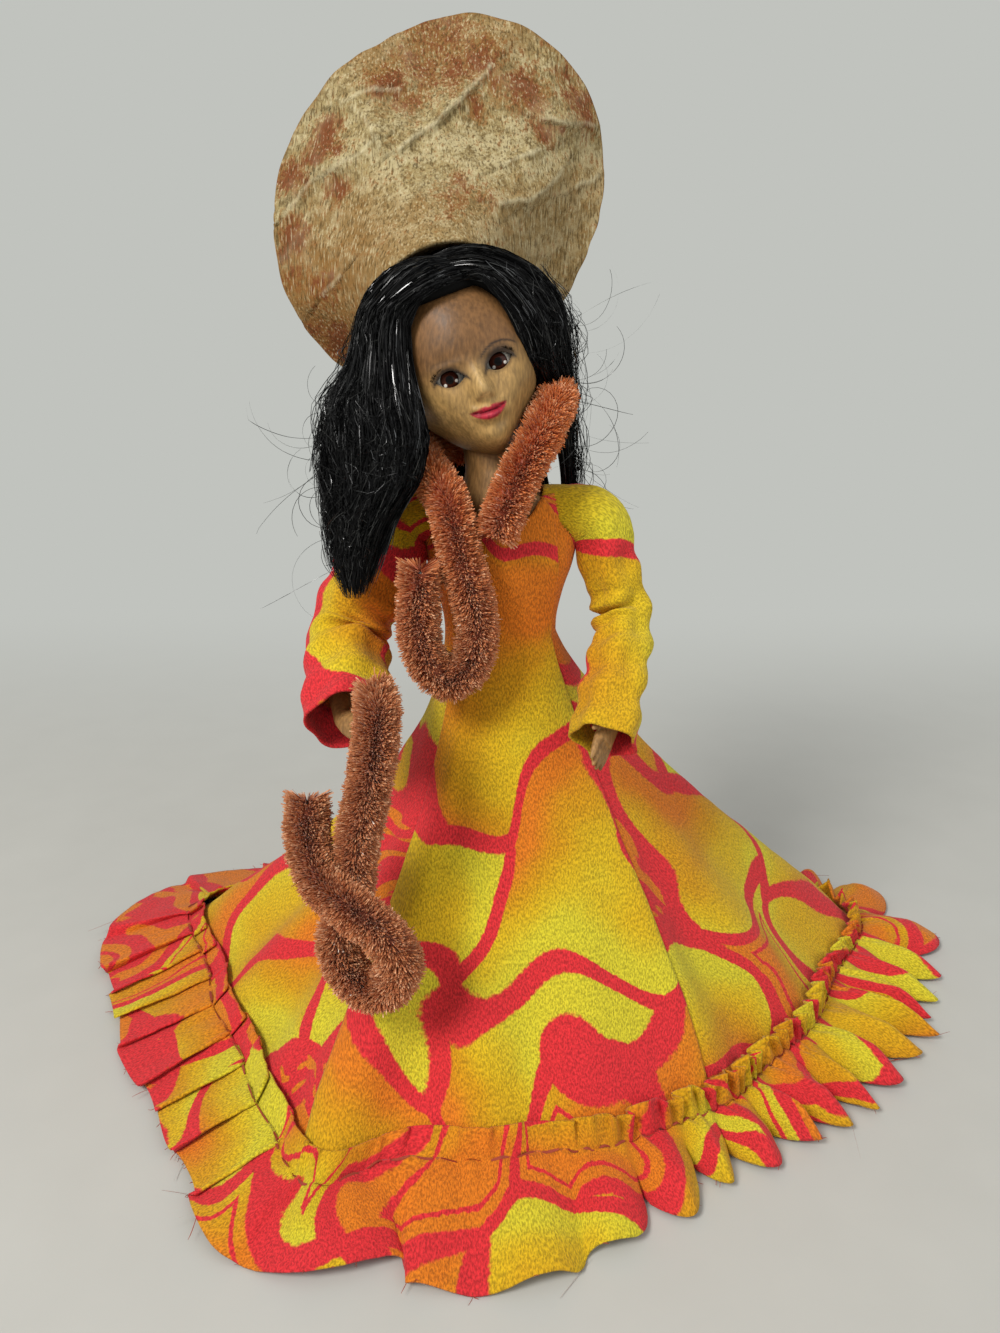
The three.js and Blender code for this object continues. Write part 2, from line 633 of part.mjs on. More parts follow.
function hairCrown(thickness) {
  const around = 28;
  const down = 6;
  const grid = Array.from({ length: around }, (_, n) => {
    const azimuth = (n / around) * Math.PI * 2;
    return Array.from({ length: down + 1 }, (_, k) =>
      headPoint(azimuth, ((k + 0.02) / (down + 0.02)) * hairline(azimuth), wigMiddle),
    );
  });
  return solid(sheet(grid, thickness, true));
}
piece("hair_crown", hairCrown(HAIR_THICKNESS), BLACK_HAIR, 0.35, headGroup);

const headKeepOut = headSolid(wigOutside, 28, 16);
const neckPath = NECK_GARLAND.map((point) => new THREE.Vector3(...point));
const garlandSteps = 34;
const neckGarlandGrown = solid(tube(neckPath, GARLAND_RADIUS + GAP, 8, garlandSteps));

// A hanging lock: rings along a route, each with its own half width and half thickness.
function lock(stations) {
  const path = new THREE.CatmullRomCurve3(
    stations.map(([x, y, rise]) => new THREE.Vector3(x, y, NECK_LEVEL + rise)),
  );
  const steps = 12;
  const widths = new THREE.SplineCurve(
    stations.map(([, , , width, thickness]) => new THREE.Vector2(width, thickness)),
  );
  const rings = [];
  for (let k = 0; k <= steps; k += 1) {
    const share = k / steps;
    const size = widths.getPoint(share);
    const aim = path.getTangent(share);
    rings.push(ring(path.getPoint(share), aim, new THREE.Vector3(1, 0, 0), size.x, size.y, 12));
  }
  return inHead(solid(loft(rings))).subtract(headKeepOut);
}

// A solid given in the doll's frame, as the tilted head's own frame has it.
function inHead(made) {
  return solid(geometryOf(made).applyMatrix4(headGroup.matrix.clone().invert()));
}

const garlandKeepOut = inHead(neckGarlandGrown);
piece("hair_lock_right", largest(lock(RIGHT_LOCK).subtract(garlandKeepOut)), BLACK_HAIR, 0.35, headGroup);
piece("hair_lock_left", largest(lock(LEFT_LOCK).subtract(garlandKeepOut)), BLACK_HAIR, 0.35, headGroup);

function hairFall() {
  const spread = THREE.MathUtils.degToRad(58);
  const columns = 8;
  const rows = 4;
  const start = headPoint(Math.PI, HAIRLINE_BACK, wigMiddle);
  const grid = Array.from({ length: columns + 1 }, (_, n) => {
    const turn = THREE.MathUtils.lerp(-spread, spread, n / columns);
    return Array.from({ length: rows + 1 }, (_, k) => {
      const fall = k / rows;
      const out = start.y + 2.2 * Math.sin(fall * Math.PI * 0.8);
      return new THREE.Vector3(
        Math.sin(turn) * HAIR_FALL_HALF_WIDTH * (1 - 0.25 * fall),
        out * (0.55 + 0.45 * Math.cos(turn)),
        start.z - HAIR_THICKNESS * 0.4 - GAP - HAIR_FALL_LENGTH * fall,
      );
    });
  });
  return largest(solid(sheet(grid, HAIR_THICKNESS, false)).subtract(headKeepOut).subtract(garlandKeepOut));
}
piece("hair_back", hairFall(), BLACK_HAIR, 0.35, headGroup);

// Hat

const hatAxis = new THREE.Vector3(0, Math.cos(HAT_AXIS_RISE), Math.sin(HAT_AXIS_RISE));
const hatSide = new THREE.Vector3(1, 0, 0);
const hatUp = hatSide.clone().cross(hatAxis);
const crownMiddle = wigOutside + BARK_THICKNESS / 2;

// A point of the hat's crown: away from the hat's axis by an angle, turned round it.
function crownPoint(away, turn) {
  const aim = hatAxis
    .clone()
    .multiplyScalar(Math.cos(away))
    .addScaledVector(hatSide, Math.sin(away) * Math.sin(turn))
    .addScaledVector(hatUp, Math.sin(away) * Math.cos(turn));
  const azimuth = Math.atan2(aim.x, -aim.y);
  return headPoint(azimuth, Math.acos(THREE.MathUtils.clamp(aim.z, -1, 1)), crownMiddle);
}

const hatColumns = 32;

function hatCrown() {
  const rows = 5;
  const grid = Array.from({ length: hatColumns / 2 }, (_, n) => {
    const turn = (n / (hatColumns / 2)) * Math.PI * 2;
    return Array.from({ length: rows + 1 }, (_, k) =>
      crownPoint(((k + 0.03) / (rows + 0.03)) * HAT_CROWN_SPAN, turn),
    );
  });
  return sheet(grid, BARK_THICKNESS, true);
}
piece("hat_crown", hatCrown(), BARK, 0.9, headGroup);

function hatBrim() {
  const rows = 4;
  const rimAway = HAT_CROWN_SPAN + (BARK_THICKNESS + GAP) / HEAD_HALF_HEIGHT;
  const grid = Array.from({ length: hatColumns }, (_, n) => {
    const turn = (n / hatColumns) * Math.PI * 2;
    const rim = crownPoint(rimAway, turn);
    const reach = HAT_RADIUS * (1 + HAT_OVAL * Math.cos(2 * (turn - HAT_OVAL_TURN)));
    const edge = HAT_CENTRE.clone()
      .addScaledVector(hatSide, Math.sin(turn) * reach)
      .add(new THREE.Vector3(0, HAT_WAVE * Math.sin(HAT_WAVES * turn), Math.cos(turn) * reach));
    return Array.from({ length: rows + 1 }, (_, k) => {
      const share = k / rows;
      const spot = rim.clone().lerp(edge, share);
      spot.y += 3 * Math.sin(share * Math.PI) * Math.max(0, Math.cos(turn));
      return spot;
    });
  });
  return sheet(grid, BARK_THICKNESS, true);
}
piece("hat_brim", hatBrim(), BARK, 0.9, headGroup);

// Arms

function armPath(side, elbow, wrist, knuckles) {
  return [
    new THREE.Vector3(side * (discX + GAP), 0, SHOULDER_LEVEL),
    new THREE.Vector3(side * armKnotX, -0.2, SHOULDER_LEVEL - 0.6),
    elbow,
    wrist,
    knuckles,
  ];
}

function arm(side, elbow, wrist, knuckles, palmSide) {
  const stops = armPath(side, elbow, wrist, knuckles);
  const path = new THREE.CatmullRomCurve3(stops, false, "centripetal");
  const steps = 12;
  const rings = [];
  const start = new THREE.Vector3(side, 0, 0);
  for (let k = 0; k <= steps; k += 1) {
    const share = k / steps;
    const aim = k === 0 ? start : path.getTangent(share);
    const stop = share * (stops.length - 1);
    const toHand = THREE.MathUtils.smoothstep(stop, 2.9, 4);
    const girth = [SHOULDER_RADIUS, SHOULDER_RADIUS, ELBOW_RADIUS, WRIST_RADIUS, WRIST_RADIUS];
    const lower = Math.min(Math.floor(stop), stops.length - 2);
    const round = THREE.MathUtils.lerp(girth[lower], girth[lower + 1], stop - lower);
    const width = THREE.MathUtils.lerp(round, PALM_HALF_WIDTH, toHand);
    const thickness = THREE.MathUtils.lerp(round, PALM_HALF_THICKNESS, toHand);
    rings.push(ring(path.getPoint(share), aim, palmSide, width, thickness, 10));
  }
  let made = solid(loft(rings));
  const reach = knuckles.clone().sub(wrist).normalize();
  const across = palmSide.clone().addScaledVector(reach, -palmSide.dot(reach)).normalize();
  const spacing = (PALM_HALF_WIDTH - FINGER_RADIUS) / 1.5;
  for (const slot of [-1.5, -0.5, 0.5, 1.5]) {
    const root = knuckles.clone().addScaledVector(across, slot * spacing).addScaledVector(reach, -1.5);
    const long = FINGER_LENGTH - 0.7 * Math.abs(slot) + 1.5;
    made = made.add(finger(root, reach, across, long, FINGER_RADIUS));
  }
  const thumbRoot = wrist.clone().lerp(knuckles, 0.35).addScaledVector(across, PALM_HALF_WIDTH - 1.4);
  const thumbAim = reach.clone().multiplyScalar(0.75).addScaledVector(across, 0.65).normalize();
  made = made.add(finger(thumbRoot, thumbAim, across, FINGER_LENGTH, FINGER_RADIUS + 0.15));
  const pocket = ball(KNOT_RADIUS + GAP, [side * armKnotX, 0, SHOULDER_LEVEL], 10, 6);
  const bore = [0, side * armKnotX].sort((a, b) => a - b);
  return made.subtract(pocket).subtract(barX(elasticHole, bore[0], bore[1], 0, SHOULDER_LEVEL, 8));
}

function finger(root, aim, across, long, radius) {
  const girth = [1, 1.05, 0.9, 0.45];
  const rings = girth.map((share, k) => {
    const place = root.clone().addScaledVector(aim, (k / (girth.length - 1)) * long);
    return ring(place, aim, across, radius * share, radius * share, 6);
  });
  return solid(loft(rings));
}

const leftPalmSide = new THREE.Vector3(-0.5, -0.75, 0.45);
const rightPalmSide = new THREE.Vector3(0.35, 0.2, 0.9);
const leftArm = arm(1, LEFT_ELBOW, LEFT_WRIST, LEFT_KNUCKLES, leftPalmSide);
const rightArm = arm(-1, RIGHT_ELBOW, RIGHT_WRIST, RIGHT_KNUCKLES, rightPalmSide);
piece("left_arm", leftArm, SKIN, 0.35);
piece("right_arm", rightArm, SKIN, 0.35);

// Legs

function leg(side) {
  const x = side * hipX;
  const shin = KNEE_LEVEL - ANKLE_LEVEL;
  const thigh = HIP_LEVEL - KNEE_LEVEL;
  // Level, place behind the hip's axis and radius, from the hip down to the heel.
  const stations = [
    [HIP_LEVEL - HIP_BALL_RADIUS * 0.8, 0, THIGH_RADIUS - 0.6],
    [HIP_LEVEL - thigh * 0.38, -0.3, THIGH_RADIUS],
    [HIP_LEVEL - thigh * 0.64, -0.6, (THIGH_RADIUS + KNEE_RADIUS) / 2],
    [KNEE_LEVEL, -0.8, KNEE_RADIUS],
    [ANKLE_LEVEL + shin * 0.7, CALF_BACK, CALF_RADIUS],
    [ANKLE_LEVEL + shin * 0.3, CALF_BACK, (CALF_RADIUS + ANKLE_RADIUS) / 2],
    [ANKLE_LEVEL, CALF_BACK, ANKLE_RADIUS],
    [0, CALF_BACK, ANKLE_RADIUS + 0.5],
  ];
  const down = new THREE.Vector3(0, 0, -1);
  const wide = new THREE.Vector3(1, 0, 0);
  const rings = stations.map(([level, y, radius]) =>
    ring(new THREE.Vector3(x, y, level), down, wide, radius, radius * 1.05, 10),
  );
  const shank = solid(loft(rings));
  const footRings = [0, 0.25, 0.55, 0.8, 0.95, 1].map((share) => {
    const y = HEEL_BACK - FOOT_LENGTH * share;
    const width = FOOT_HALF_WIDTH * (0.86 + 0.3 * Math.sin(share * 2.6) - 0.55 * share ** 6);
    const height = FOOT_HEIGHT * (1 - 0.62 * share) * (1 - 0.3 * share ** 8);
    const place = new THREE.Vector3(x, y, 0);
    return ring(place, new THREE.Vector3(0, -1, 0), wide, width, height, 12);
  });
  const foot = solid(loft(footRings));
  const floor = block([-FAR, -FAR, -FAR], [FAR, FAR, 0]);
  let made = shank.add(foot).subtract(floor);
  made = made.add(ball(HIP_BALL_RADIUS, [x, 0, HIP_LEVEL]));
  const pocket = ball(KNOT_RADIUS + GAP, [x, 0, HIP_LEVEL], 10, 6);
  const bore = [0, x].sort((a, b) => a - b);
  return made.subtract(pocket).subtract(barX(elasticHole, bore[0], bore[1], 0, HIP_LEVEL, 8));
}
piece("right_leg", leg(-1), SKIN, 0.4);
piece("left_leg", leg(1), SKIN, 0.4);

// Gown

const stitchCurve = new THREE.CatmullRomCurve3(
  STITCH_LINE.map(([x, y]) => new THREE.Vector3(x, y, STITCH_LEVEL)),
  true,
);
stitchCurve.arcLengthDivisions = 600;

const gownGrow = GOWN_EASE + CLOTH / 2;

// A point of the gown at a share of the way round and a share of the way down its skirt.
function skirtPoint(around, down) {
  const hem = stitchCurve.getPointAt(((around % 1) + 1) % 1);
  const turn = Math.atan2(hem.x, -hem.y);
  const waist = torsoPoint(WAIST_LEVEL, turn, gownGrow);
  const hollow = SKIRT_HOLLOW - SKIRT_LEAN * Math.sin(turn);
  const out = down ** hollow;
  const spot = new THREE.Vector3(
    THREE.MathUtils.lerp(waist.x, hem.x, out),
    THREE.MathUtils.lerp(waist.y, hem.y, out),
    THREE.MathUtils.lerp(WAIST_LEVEL, STITCH_LEVEL, down),
  );
  const fold = SKIRT_FOLD_DEPTH * Math.sin(Math.PI * down) * Math.cos(around * SKIRT_FOLDS * Math.PI * 2);
  const away = new THREE.Vector3(Math.sin(turn), -Math.cos(turn), 0.6);
  return spot.addScaledVector(away.normalize(), fold);
}

function bodicePoint(around, down) {
  const hem = stitchCurve.getPointAt(around);
  const turn = Math.atan2(hem.x, -hem.y);
  const top = NECKLINE_LEVEL - NECKLINE_DROP * Math.exp(-((turn / 0.42) ** 2));
  const level = THREE.MathUtils.lerp(top, WAIST_LEVEL, down);
  const lift = gownGrow * THREE.MathUtils.smoothstep(level, SHOULDER_LEVEL - 3, NECKLINE_LEVEL);
  const spot = torsoPoint(level - lift, turn, gownGrow);
  spot.z = level;
  return spot;
}

const gownColumns = 44;
const bodiceRows = 6;
const skirtRows = 6;

function gown() {
  const grid = Array.from({ length: gownColumns }, (_, n) => {
    const around = n / gownColumns;
    const column = [];
    for (let k = 0; k < bodiceRows; k += 1) column.push(bodicePoint(around, (k / bodiceRows) ** 1.6));
    for (let k = 0; k <= skirtRows; k += 1) column.push(skirtPoint(around, k / skirtRows));
    return column;
  });
  let made = solid(sheet(grid, CLOTH, true));
  const reach = SHOULDER_HALF_WIDTH + CUT_OVERRUN;
  const armhole = SHOULDER_HALF_WIDTH - ARMHOLE_INSET;
  made = made.subtract(barX(ARMHOLE_RADIUS, -reach, -armhole, 0, SHOULDER_LEVEL, 16));
  return made.subtract(barX(ARMHOLE_RADIUS, armhole, reach, 0, SHOULDER_LEVEL, 16));
}

// A wedge of space between two turns about the doll's axis, drawn back from each seam.
function wedge(from, to) {
  const middle = (from + to) / 2;
  const inset = SEAM_GAP / 2 / Math.sin((to - from) / 2);
  const outline = new THREE.Shape();
  const corner = [Math.sin(middle) * inset, -Math.cos(middle) * inset];
  outline.moveTo(...corner);
  for (const turn of [from, middle, to]) {
    outline.lineTo(corner[0] + Math.sin(turn) * FAR, corner[1] - Math.cos(turn) * FAR);
  }
  outline.closePath();
  return solid(new THREE.ExtrudeGeometry(outline, { depth: FAR, bevelEnabled: false }));
}

const gownWhole = gown();
const panels = [
  ["gown_front", -FRONT_SEAM, FRONT_SEAM],
  ["gown_side_left", FRONT_SEAM, BACK_SEAM],
  ["gown_back_left", BACK_SEAM, Math.PI],
  ["gown_back_right", -Math.PI, -BACK_SEAM],
  ["gown_side_right", -BACK_SEAM, -FRONT_SEAM],
];
for (const [name, from, to] of panels) {
  piece(name, gownWhole.intersect(wedge(from, to)), YELLOW_CLOTH, 0.85);
}

// Ruffle

function skirtNormal(around, down) {
  const step = 0.004;
  const along = skirtPoint(around + step, down).sub(skirtPoint(around - step, down));
  const fall = skirtPoint(around, down).sub(skirtPoint(around, down - 0.02));
  return fall.cross(along).normalize();
}

function hemRuffle() {
  const samples = RUFFLE_FLUTES * 5;
  const layer = CLOTH + GAP;
  const skirtLength = skirtPoint(0, 0).distanceTo(skirtPoint(0, 1));
  const grid = Array.from({ length: samples }, (_, n) => {
    const around = n / samples;
    const turn = around * RUFFLE_FLUTES * Math.PI * 2;
    const wave = 0.5 - 0.5 * Math.cos(turn);
    const sway = -Math.sin(turn);
    const headDown = 1 - RUFFLE_HEADER / skirtLength;
    const normal = skirtNormal(around, 1);
    const top = skirtPoint(around, headDown).addScaledVector(
      skirtNormal(around, headDown),
      layer + 0.5 + HEADER_WAVE * wave,
    );
    const stitch = skirtPoint(around, 1).addScaledVector(normal, layer + 0.3);
    const out = new THREE.Vector3(normal.x, normal.y, 0).normalize();
    const along = new THREE.Vector3(-out.y, out.x, 0);
    const away = (Math.atan2(stitch.x, -stitch.y) - RUFFLE_TUCK_TURN) / RUFFLE_TUCK_SPAN;
    const spread = RUFFLE_SPREAD * (1 - RUFFLE_TUCK * Math.exp(-(away ** 2)));
    const half = stitch.clone().addScaledVector(out, spread * 0.45);
    half.addScaledVector(along, FLUTE_SWAY * 0.6 * sway);
    half.z = STITCH_LEVEL * 0.6 + FLUTE_LIFT * 0.9 * wave;
    const hem = stitch.clone().addScaledVector(out, spread);
    hem.addScaledVector(along, FLUTE_SWAY * sway);
    hem.z = CLOTH / 2 + FLOOR_EASE + FLUTE_LIFT * wave;
    return [top, stitch, half, hem];
  });
  return sheet(grid, CLOTH, true);
}
piece("hem_ruffle", hemRuffle(), ORANGE_CLOTH, 0.85);

// Sleeves

function sleeve(side, elbow, wrist, knuckles, cuffRadius, cuffReach) {
  const start = new THREE.Vector3(side * (SHOULDER_HALF_WIDTH + gownGrow + CLOTH + GAP), 0, SHOULDER_LEVEL);
  const bend = new THREE.Vector3(side * (armKnotX + 2.6), -0.2, SHOULDER_LEVEL - 2.2);
  const upper = bend.clone().lerp(elbow, 0.42);
  const cuff = wrist.clone().lerp(knuckles, cuffReach);
  const fore = elbow.clone().lerp(wrist, 0.55);
  const path = new THREE.CatmullRomCurve3([start, bend, upper, elbow, fore, cuff], false, "centripetal");
  const steps = 10;
  const columns = 15;
  const girth = [
    SLEEVE_CAP_RADIUS, SLEEVE_CAP_RADIUS - 0.3, SLEEVE_CAP_RADIUS - 0.6,
    SLEEVE_ELBOW_RADIUS, (SLEEVE_ELBOW_RADIUS + cuffRadius) / 2, cuffRadius,
  ];
  const rows = [];
  for (let k = 0; k <= steps; k += 1) {
    const share = k / steps;
    const aim = k === 0 ? new THREE.Vector3(side, 0, 0) : path.getTangent(share);
    const stop = share * (girth.length - 1);
    const lower = Math.min(Math.floor(stop), girth.length - 2);
    const radius = THREE.MathUtils.lerp(girth[lower], girth[lower + 1], stop - lower);
    const round = ring(path.getPoint(share), aim, new THREE.Vector3(0, 1, 0), radius, radius, columns);
    rows.push(
      round.map((spot, n) => {
        const fold = SLEEVE_FOLD_DEPTH * share * Math.cos((n / columns) * SLEEVE_FOLDS * Math.PI * 2);
        return spot.clone().addScaledVector(spot.clone().sub(path.getPoint(share)).normalize(), fold);
      }),
    );
  }
  const grid = Array.from({ length: columns }, (_, n) => rows.map((row) => row[n]));
  return sheet(grid, CLOTH, true);
}
piece(
  "left_sleeve",
  sleeve(1, LEFT_ELBOW, LEFT_WRIST, LEFT_KNUCKLES, LEFT_CUFF_RADIUS, LEFT_CUFF_REACH),
  ORANGE_CLOTH, 0.85,
);
piece(
  "right_sleeve",
  sleeve(-1, RIGHT_ELBOW, RIGHT_WRIST, RIGHT_KNUCKLES, RIGHT_CUFF_RADIUS, RIGHT_CUFF_REACH),
  ORANGE_CLOTH, 0.85,
);

// Garlands

function neckGarland() {
  const pile = solid(tube(neckPath, GARLAND_RADIUS, 8, garlandSteps));
  const grown = torsoLoft(GOWN_EASE + CLOTH + GAP, WAIST_LEVEL - 12, NECK_LEVEL, 24);
  const headRoom = headSolid(GAP, 28, 16)
    .add(ball(socketRadius + SOCKET_WALL + GAP, [0, 0, 0]))
    .add(hairCrown(HAIR_THICKNESS + GAP * 2));
  const turned = solid(geometryOf(headRoom).applyMatrix4(headGroup.matrix));
  return pile.subtract(grown).subtract(turned);
}
piece("neck_garland", neckGarland(), RUST_PILE, 0.95);

const handPath = HAND_GARLAND.map((point) => new THREE.Vector3(...point));
piece("hand_garland", solid(tube(handPath, GARLAND_RADIUS, 8, garlandSteps)), RUST_PILE, 0.95);

// The origin is the middle of the doll's footprint on the floor.
doll.updateMatrixWorld(true);
const box = new THREE.Box3().setFromObject(doll, true);
const middle = box.getCenter(new THREE.Vector3());
doll.position.set(-middle.x, -middle.y, -box.min.z);

const part = new THREE.Group();
part.add(doll);

export default part;
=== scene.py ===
import json
import math

import bmesh
import bpy
import numpy as np
from mathutils import Matrix, Vector
from mathutils.noise import noise as drift


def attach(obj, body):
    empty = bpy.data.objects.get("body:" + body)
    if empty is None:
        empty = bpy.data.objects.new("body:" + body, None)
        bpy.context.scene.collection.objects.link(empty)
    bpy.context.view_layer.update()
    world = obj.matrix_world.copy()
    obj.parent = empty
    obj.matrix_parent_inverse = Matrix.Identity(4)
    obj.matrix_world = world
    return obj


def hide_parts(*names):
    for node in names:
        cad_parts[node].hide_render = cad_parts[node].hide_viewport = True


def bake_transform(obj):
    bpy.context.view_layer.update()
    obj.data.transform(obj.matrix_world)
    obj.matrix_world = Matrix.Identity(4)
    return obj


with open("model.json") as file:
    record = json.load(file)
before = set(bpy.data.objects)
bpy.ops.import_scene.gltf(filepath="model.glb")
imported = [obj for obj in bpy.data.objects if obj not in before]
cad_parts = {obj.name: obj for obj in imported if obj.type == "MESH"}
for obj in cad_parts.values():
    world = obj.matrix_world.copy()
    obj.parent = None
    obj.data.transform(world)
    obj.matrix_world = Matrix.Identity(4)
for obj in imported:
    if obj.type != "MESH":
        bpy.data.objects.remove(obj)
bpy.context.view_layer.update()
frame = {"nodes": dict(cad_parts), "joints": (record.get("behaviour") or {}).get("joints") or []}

MM = 0.001

# The doll's own frame: its foot is under the neck, and its head leans and turns on the neck.
JOINTS = {joint["name"]: joint for joint in frame["joints"]}
NECK = Vector(JOINTS["head_tilt"]["pos_m"])
FOOT = Vector((NECK.x, NECK.y, 0))
HEAD_SIDE = Vector(JOINTS["eye_close"]["axis"]).normalized()
HEAD_UP = Vector(JOINTS["head_turn"]["axis"]).normalized()
HEAD = Matrix((HEAD_SIDE, HEAD_UP.cross(HEAD_SIDE), HEAD_UP)).transposed()
HEAD_ROWS = np.array(HEAD)

bpy.context.scene.view_settings.view_transform = "Standard"


def place(x, y, z):
    return FOOT + Vector((x, y, z)) * MM


def placed(spots):
    return np.array(FOOT) + np.asarray(spots, float) * MM


def on_head(spots):
    return np.array(NECK) + np.asarray(spots, float) @ HEAD_ROWS.T * MM


def from_head(spots):
    return (np.asarray(spots, float) - np.array(NECK)) @ HEAD_ROWS / MM


# Camera at the photograph's angle, with a wide lens

CAMERA_SPOT, CAMERA_PITCH = (0, -222, 167), math.radians(72)
bpy.ops.object.camera_add(location=place(*CAMERA_SPOT), rotation=(CAMERA_PITCH, 0, 0))
camera = bpy.context.object
camera.name = "photo_camera"
camera.data.lens = 27
camera.data.sensor_width = 36
camera.data.clip_start = 0.01
bpy.context.scene.camera = camera


# Curves and directions


def together(*values):
    return np.broadcast_arrays(*[np.asarray(value, float) for value in values])


def unit(ways):
    return ways / np.linalg.norm(ways, axis=-1)[..., None]


def ease(value, low, high):
    share = np.clip((np.asarray(value, float) - low) / (high - low), 0, 1)
    return share * share * (3 - 2 * share)


def hump(value, middle, wide):
    """1 at the middle, and falling smoothly to 0 past the width on either side."""
    return np.exp(-((value - middle) / wide) ** 2)


def aimed(turn, polar):
    """Directions by turn from the front and angle from the top."""
    return np.stack([np.sin(polar) * np.sin(turn), -np.sin(polar) * np.cos(turn), np.cos(polar)], axis=-1)


def turned(aim):
    """Turn from the front and angle from the top of each direction."""
    return np.arctan2(aim[..., 0], -aim[..., 1]), np.arccos(np.clip(aim[..., 2], -1, 1))


def walked(points):
    """Distance along a line at each of its points."""
    return np.concatenate([[0], np.cumsum(np.linalg.norm(np.diff(points, axis=0), axis=1))])


def evened(values, count, closed=True):
    """Values smoothed over a window of points, round a closed line or along an open one."""
    pad = count // 2
    if closed:
        values = np.concatenate([values[-pad - 1:-1], values, values[1:pad + 1]])
    else:
        values = np.pad(values, pad, mode="edge")
    return np.convolve(values, np.hanning(count) / np.hanning(count).sum(), mode="valid")


def ripple(spots, size, seed=0.0):
    """Smooth noise over points, of waves about as long as size."""
    shift = Vector(np.broadcast_to(seed, 3))
    return np.array([drift(Vector(spot) / size + shift) for spot in spots.reshape(-1, 3)]).reshape(spots.shape[:-1])


def even_line(points, count, closed=False):
    """Points spread evenly along a smooth curve through the given points."""
    knots = [np.array(point, float) for point in points]
    last = len(knots)
    route = []
    for n in range(last if closed else last - 1):
        b, c = knots[n], knots[(n + 1) % last]
        a = knots[n - 1] if closed or n else 2 * b - c
        d = knots[(n + 2) % last] if closed or n + 2 < last else 2 * c - b
        t1 = math.sqrt(np.linalg.norm(b - a)) + 1e-9
        t2 = t1 + math.sqrt(np.linalg.norm(c - b)) + 1e-9
        t3 = t2 + math.sqrt(np.linalg.norm(d - c)) + 1e-9
        t = np.linspace(t1, t2, 10, endpoint=False)[:, None]
        ab = a + (b - a) * t / t1
        bc = b + (c - b) * (t - t1) / (t2 - t1)
        cd = c + (d - c) * (t - t2) / (t3 - t2)
        abc = ab + (bc - ab) * t / t2
        bcd = bc + (cd - bc) * (t - t1) / (t3 - t1)
        route.append(abc + (bcd - abc) * (t - t1) / (t2 - t1))
    route.append(knots[0 if closed else -1][None])
    route = np.concatenate(route)
    far = walked(route)
    wanted = np.linspace(0, far[-1], count)
    return np.stack([np.interp(wanted, far, route[:, axis]) for axis in range(route.shape[1])], axis=1)


def line_sides(line):
    """The direction of a line at each point, and two sides square to it, carried along without a twist."""
    aim = unit(np.gradient(line, axis=0))
    side = np.cross(aim[0], (0.31, 0.17, 0.93))
    sides = []
    for way in aim:
        side = unit(side - way * side.dot(way))
        sides.append(side)
    sides = np.array(sides)
    return aim, sides, np.cross(aim, sides)


def ringed(turn, side, up):
    """A ring of directions about each point of a line, from its two sides."""
    return np.cos(turn)[None, :, None] * side[:, None] + np.sin(turn)[None, :, None] * up[:, None]


# Meshes


def layers(shape, first, second, third):
    """Paint that holds three values for each point of a shape."""
    paint = np.ones((*shape, 4))
    paint[..., 0], paint[..., 1], paint[..., 2] = first, second, third
    return paint


def lay_paint(mesh, paint):
    colours = mesh.attributes.new("paint", "FLOAT_COLOR", "POINT")
    colours.data.foreach_set("color", np.asarray(paint, float).ravel())


def coat(piece, finish):
    piece.data.materials.clear()
    piece.data.materials.append(finish)


def mesh_piece(name, corners, faces, cut=None, paint=None):
    """A mesh with its UV map, in metres of cloth, and its paint, a colour for each corner."""
    mesh = bpy.data.meshes.new(name)
    mesh.from_pydata(np.asarray(corners).tolist(), [], faces)
    mesh.polygons.foreach_set("use_smooth", [True] * len(mesh.polygons))
    owner = np.zeros(len(mesh.loops), int)
    mesh.loops.foreach_get("vertex_index", owner)
    if cut is not None:
        layer = mesh.uv_layers.new(name="cut")
        layer.data.foreach_set("uv", np.asarray(cut, float)[owner].ravel())
    if paint is not None:
        lay_paint(mesh, paint)
    mesh.update()
    piece = bpy.data.objects.new(name, mesh)
    bpy.context.scene.collection.objects.link(piece)
    return piece


def pick(piece):
    bpy.ops.object.select_all(action="DESELECT")
    piece.select_set(True)
    bpy.context.view_layer.objects.active = piece


def finish_with(piece, kind, **settings):
    pick(piece)
    step = piece.modifiers.new(kind, kind)
    for name, value in settings.items():
        setattr(step, name, value)
    bpy.ops.object.modifier_apply(modifier=step.name)


def rework(mesh, step):
    """A mesh taken through a bmesh step."""
    shell = bmesh.new()
    shell.from_mesh(mesh)
    step(shell)
    shell.to_mesh(mesh)
    shell.free()


def join_corners(shell):
    bmesh.ops.remove_doubles(shell, verts=shell.verts, dist=1e-6)


def cut_sizes(spots):
    """Place of each point of a draped sheet on its flat cut: along its row from the middle, and down the middle."""
    across = np.linalg.norm(np.diff(spots, axis=1), axis=2)
    across = np.concatenate([np.zeros((len(spots), 1)), np.cumsum(across, axis=1)], axis=1)
    middle = spots.shape[1] // 2
    across -= across[:, middle:middle + 1]
    return np.stack([across, np.repeat(-walked(spots[:, middle])[:, None], spots.shape[1], axis=1)], axis=2)


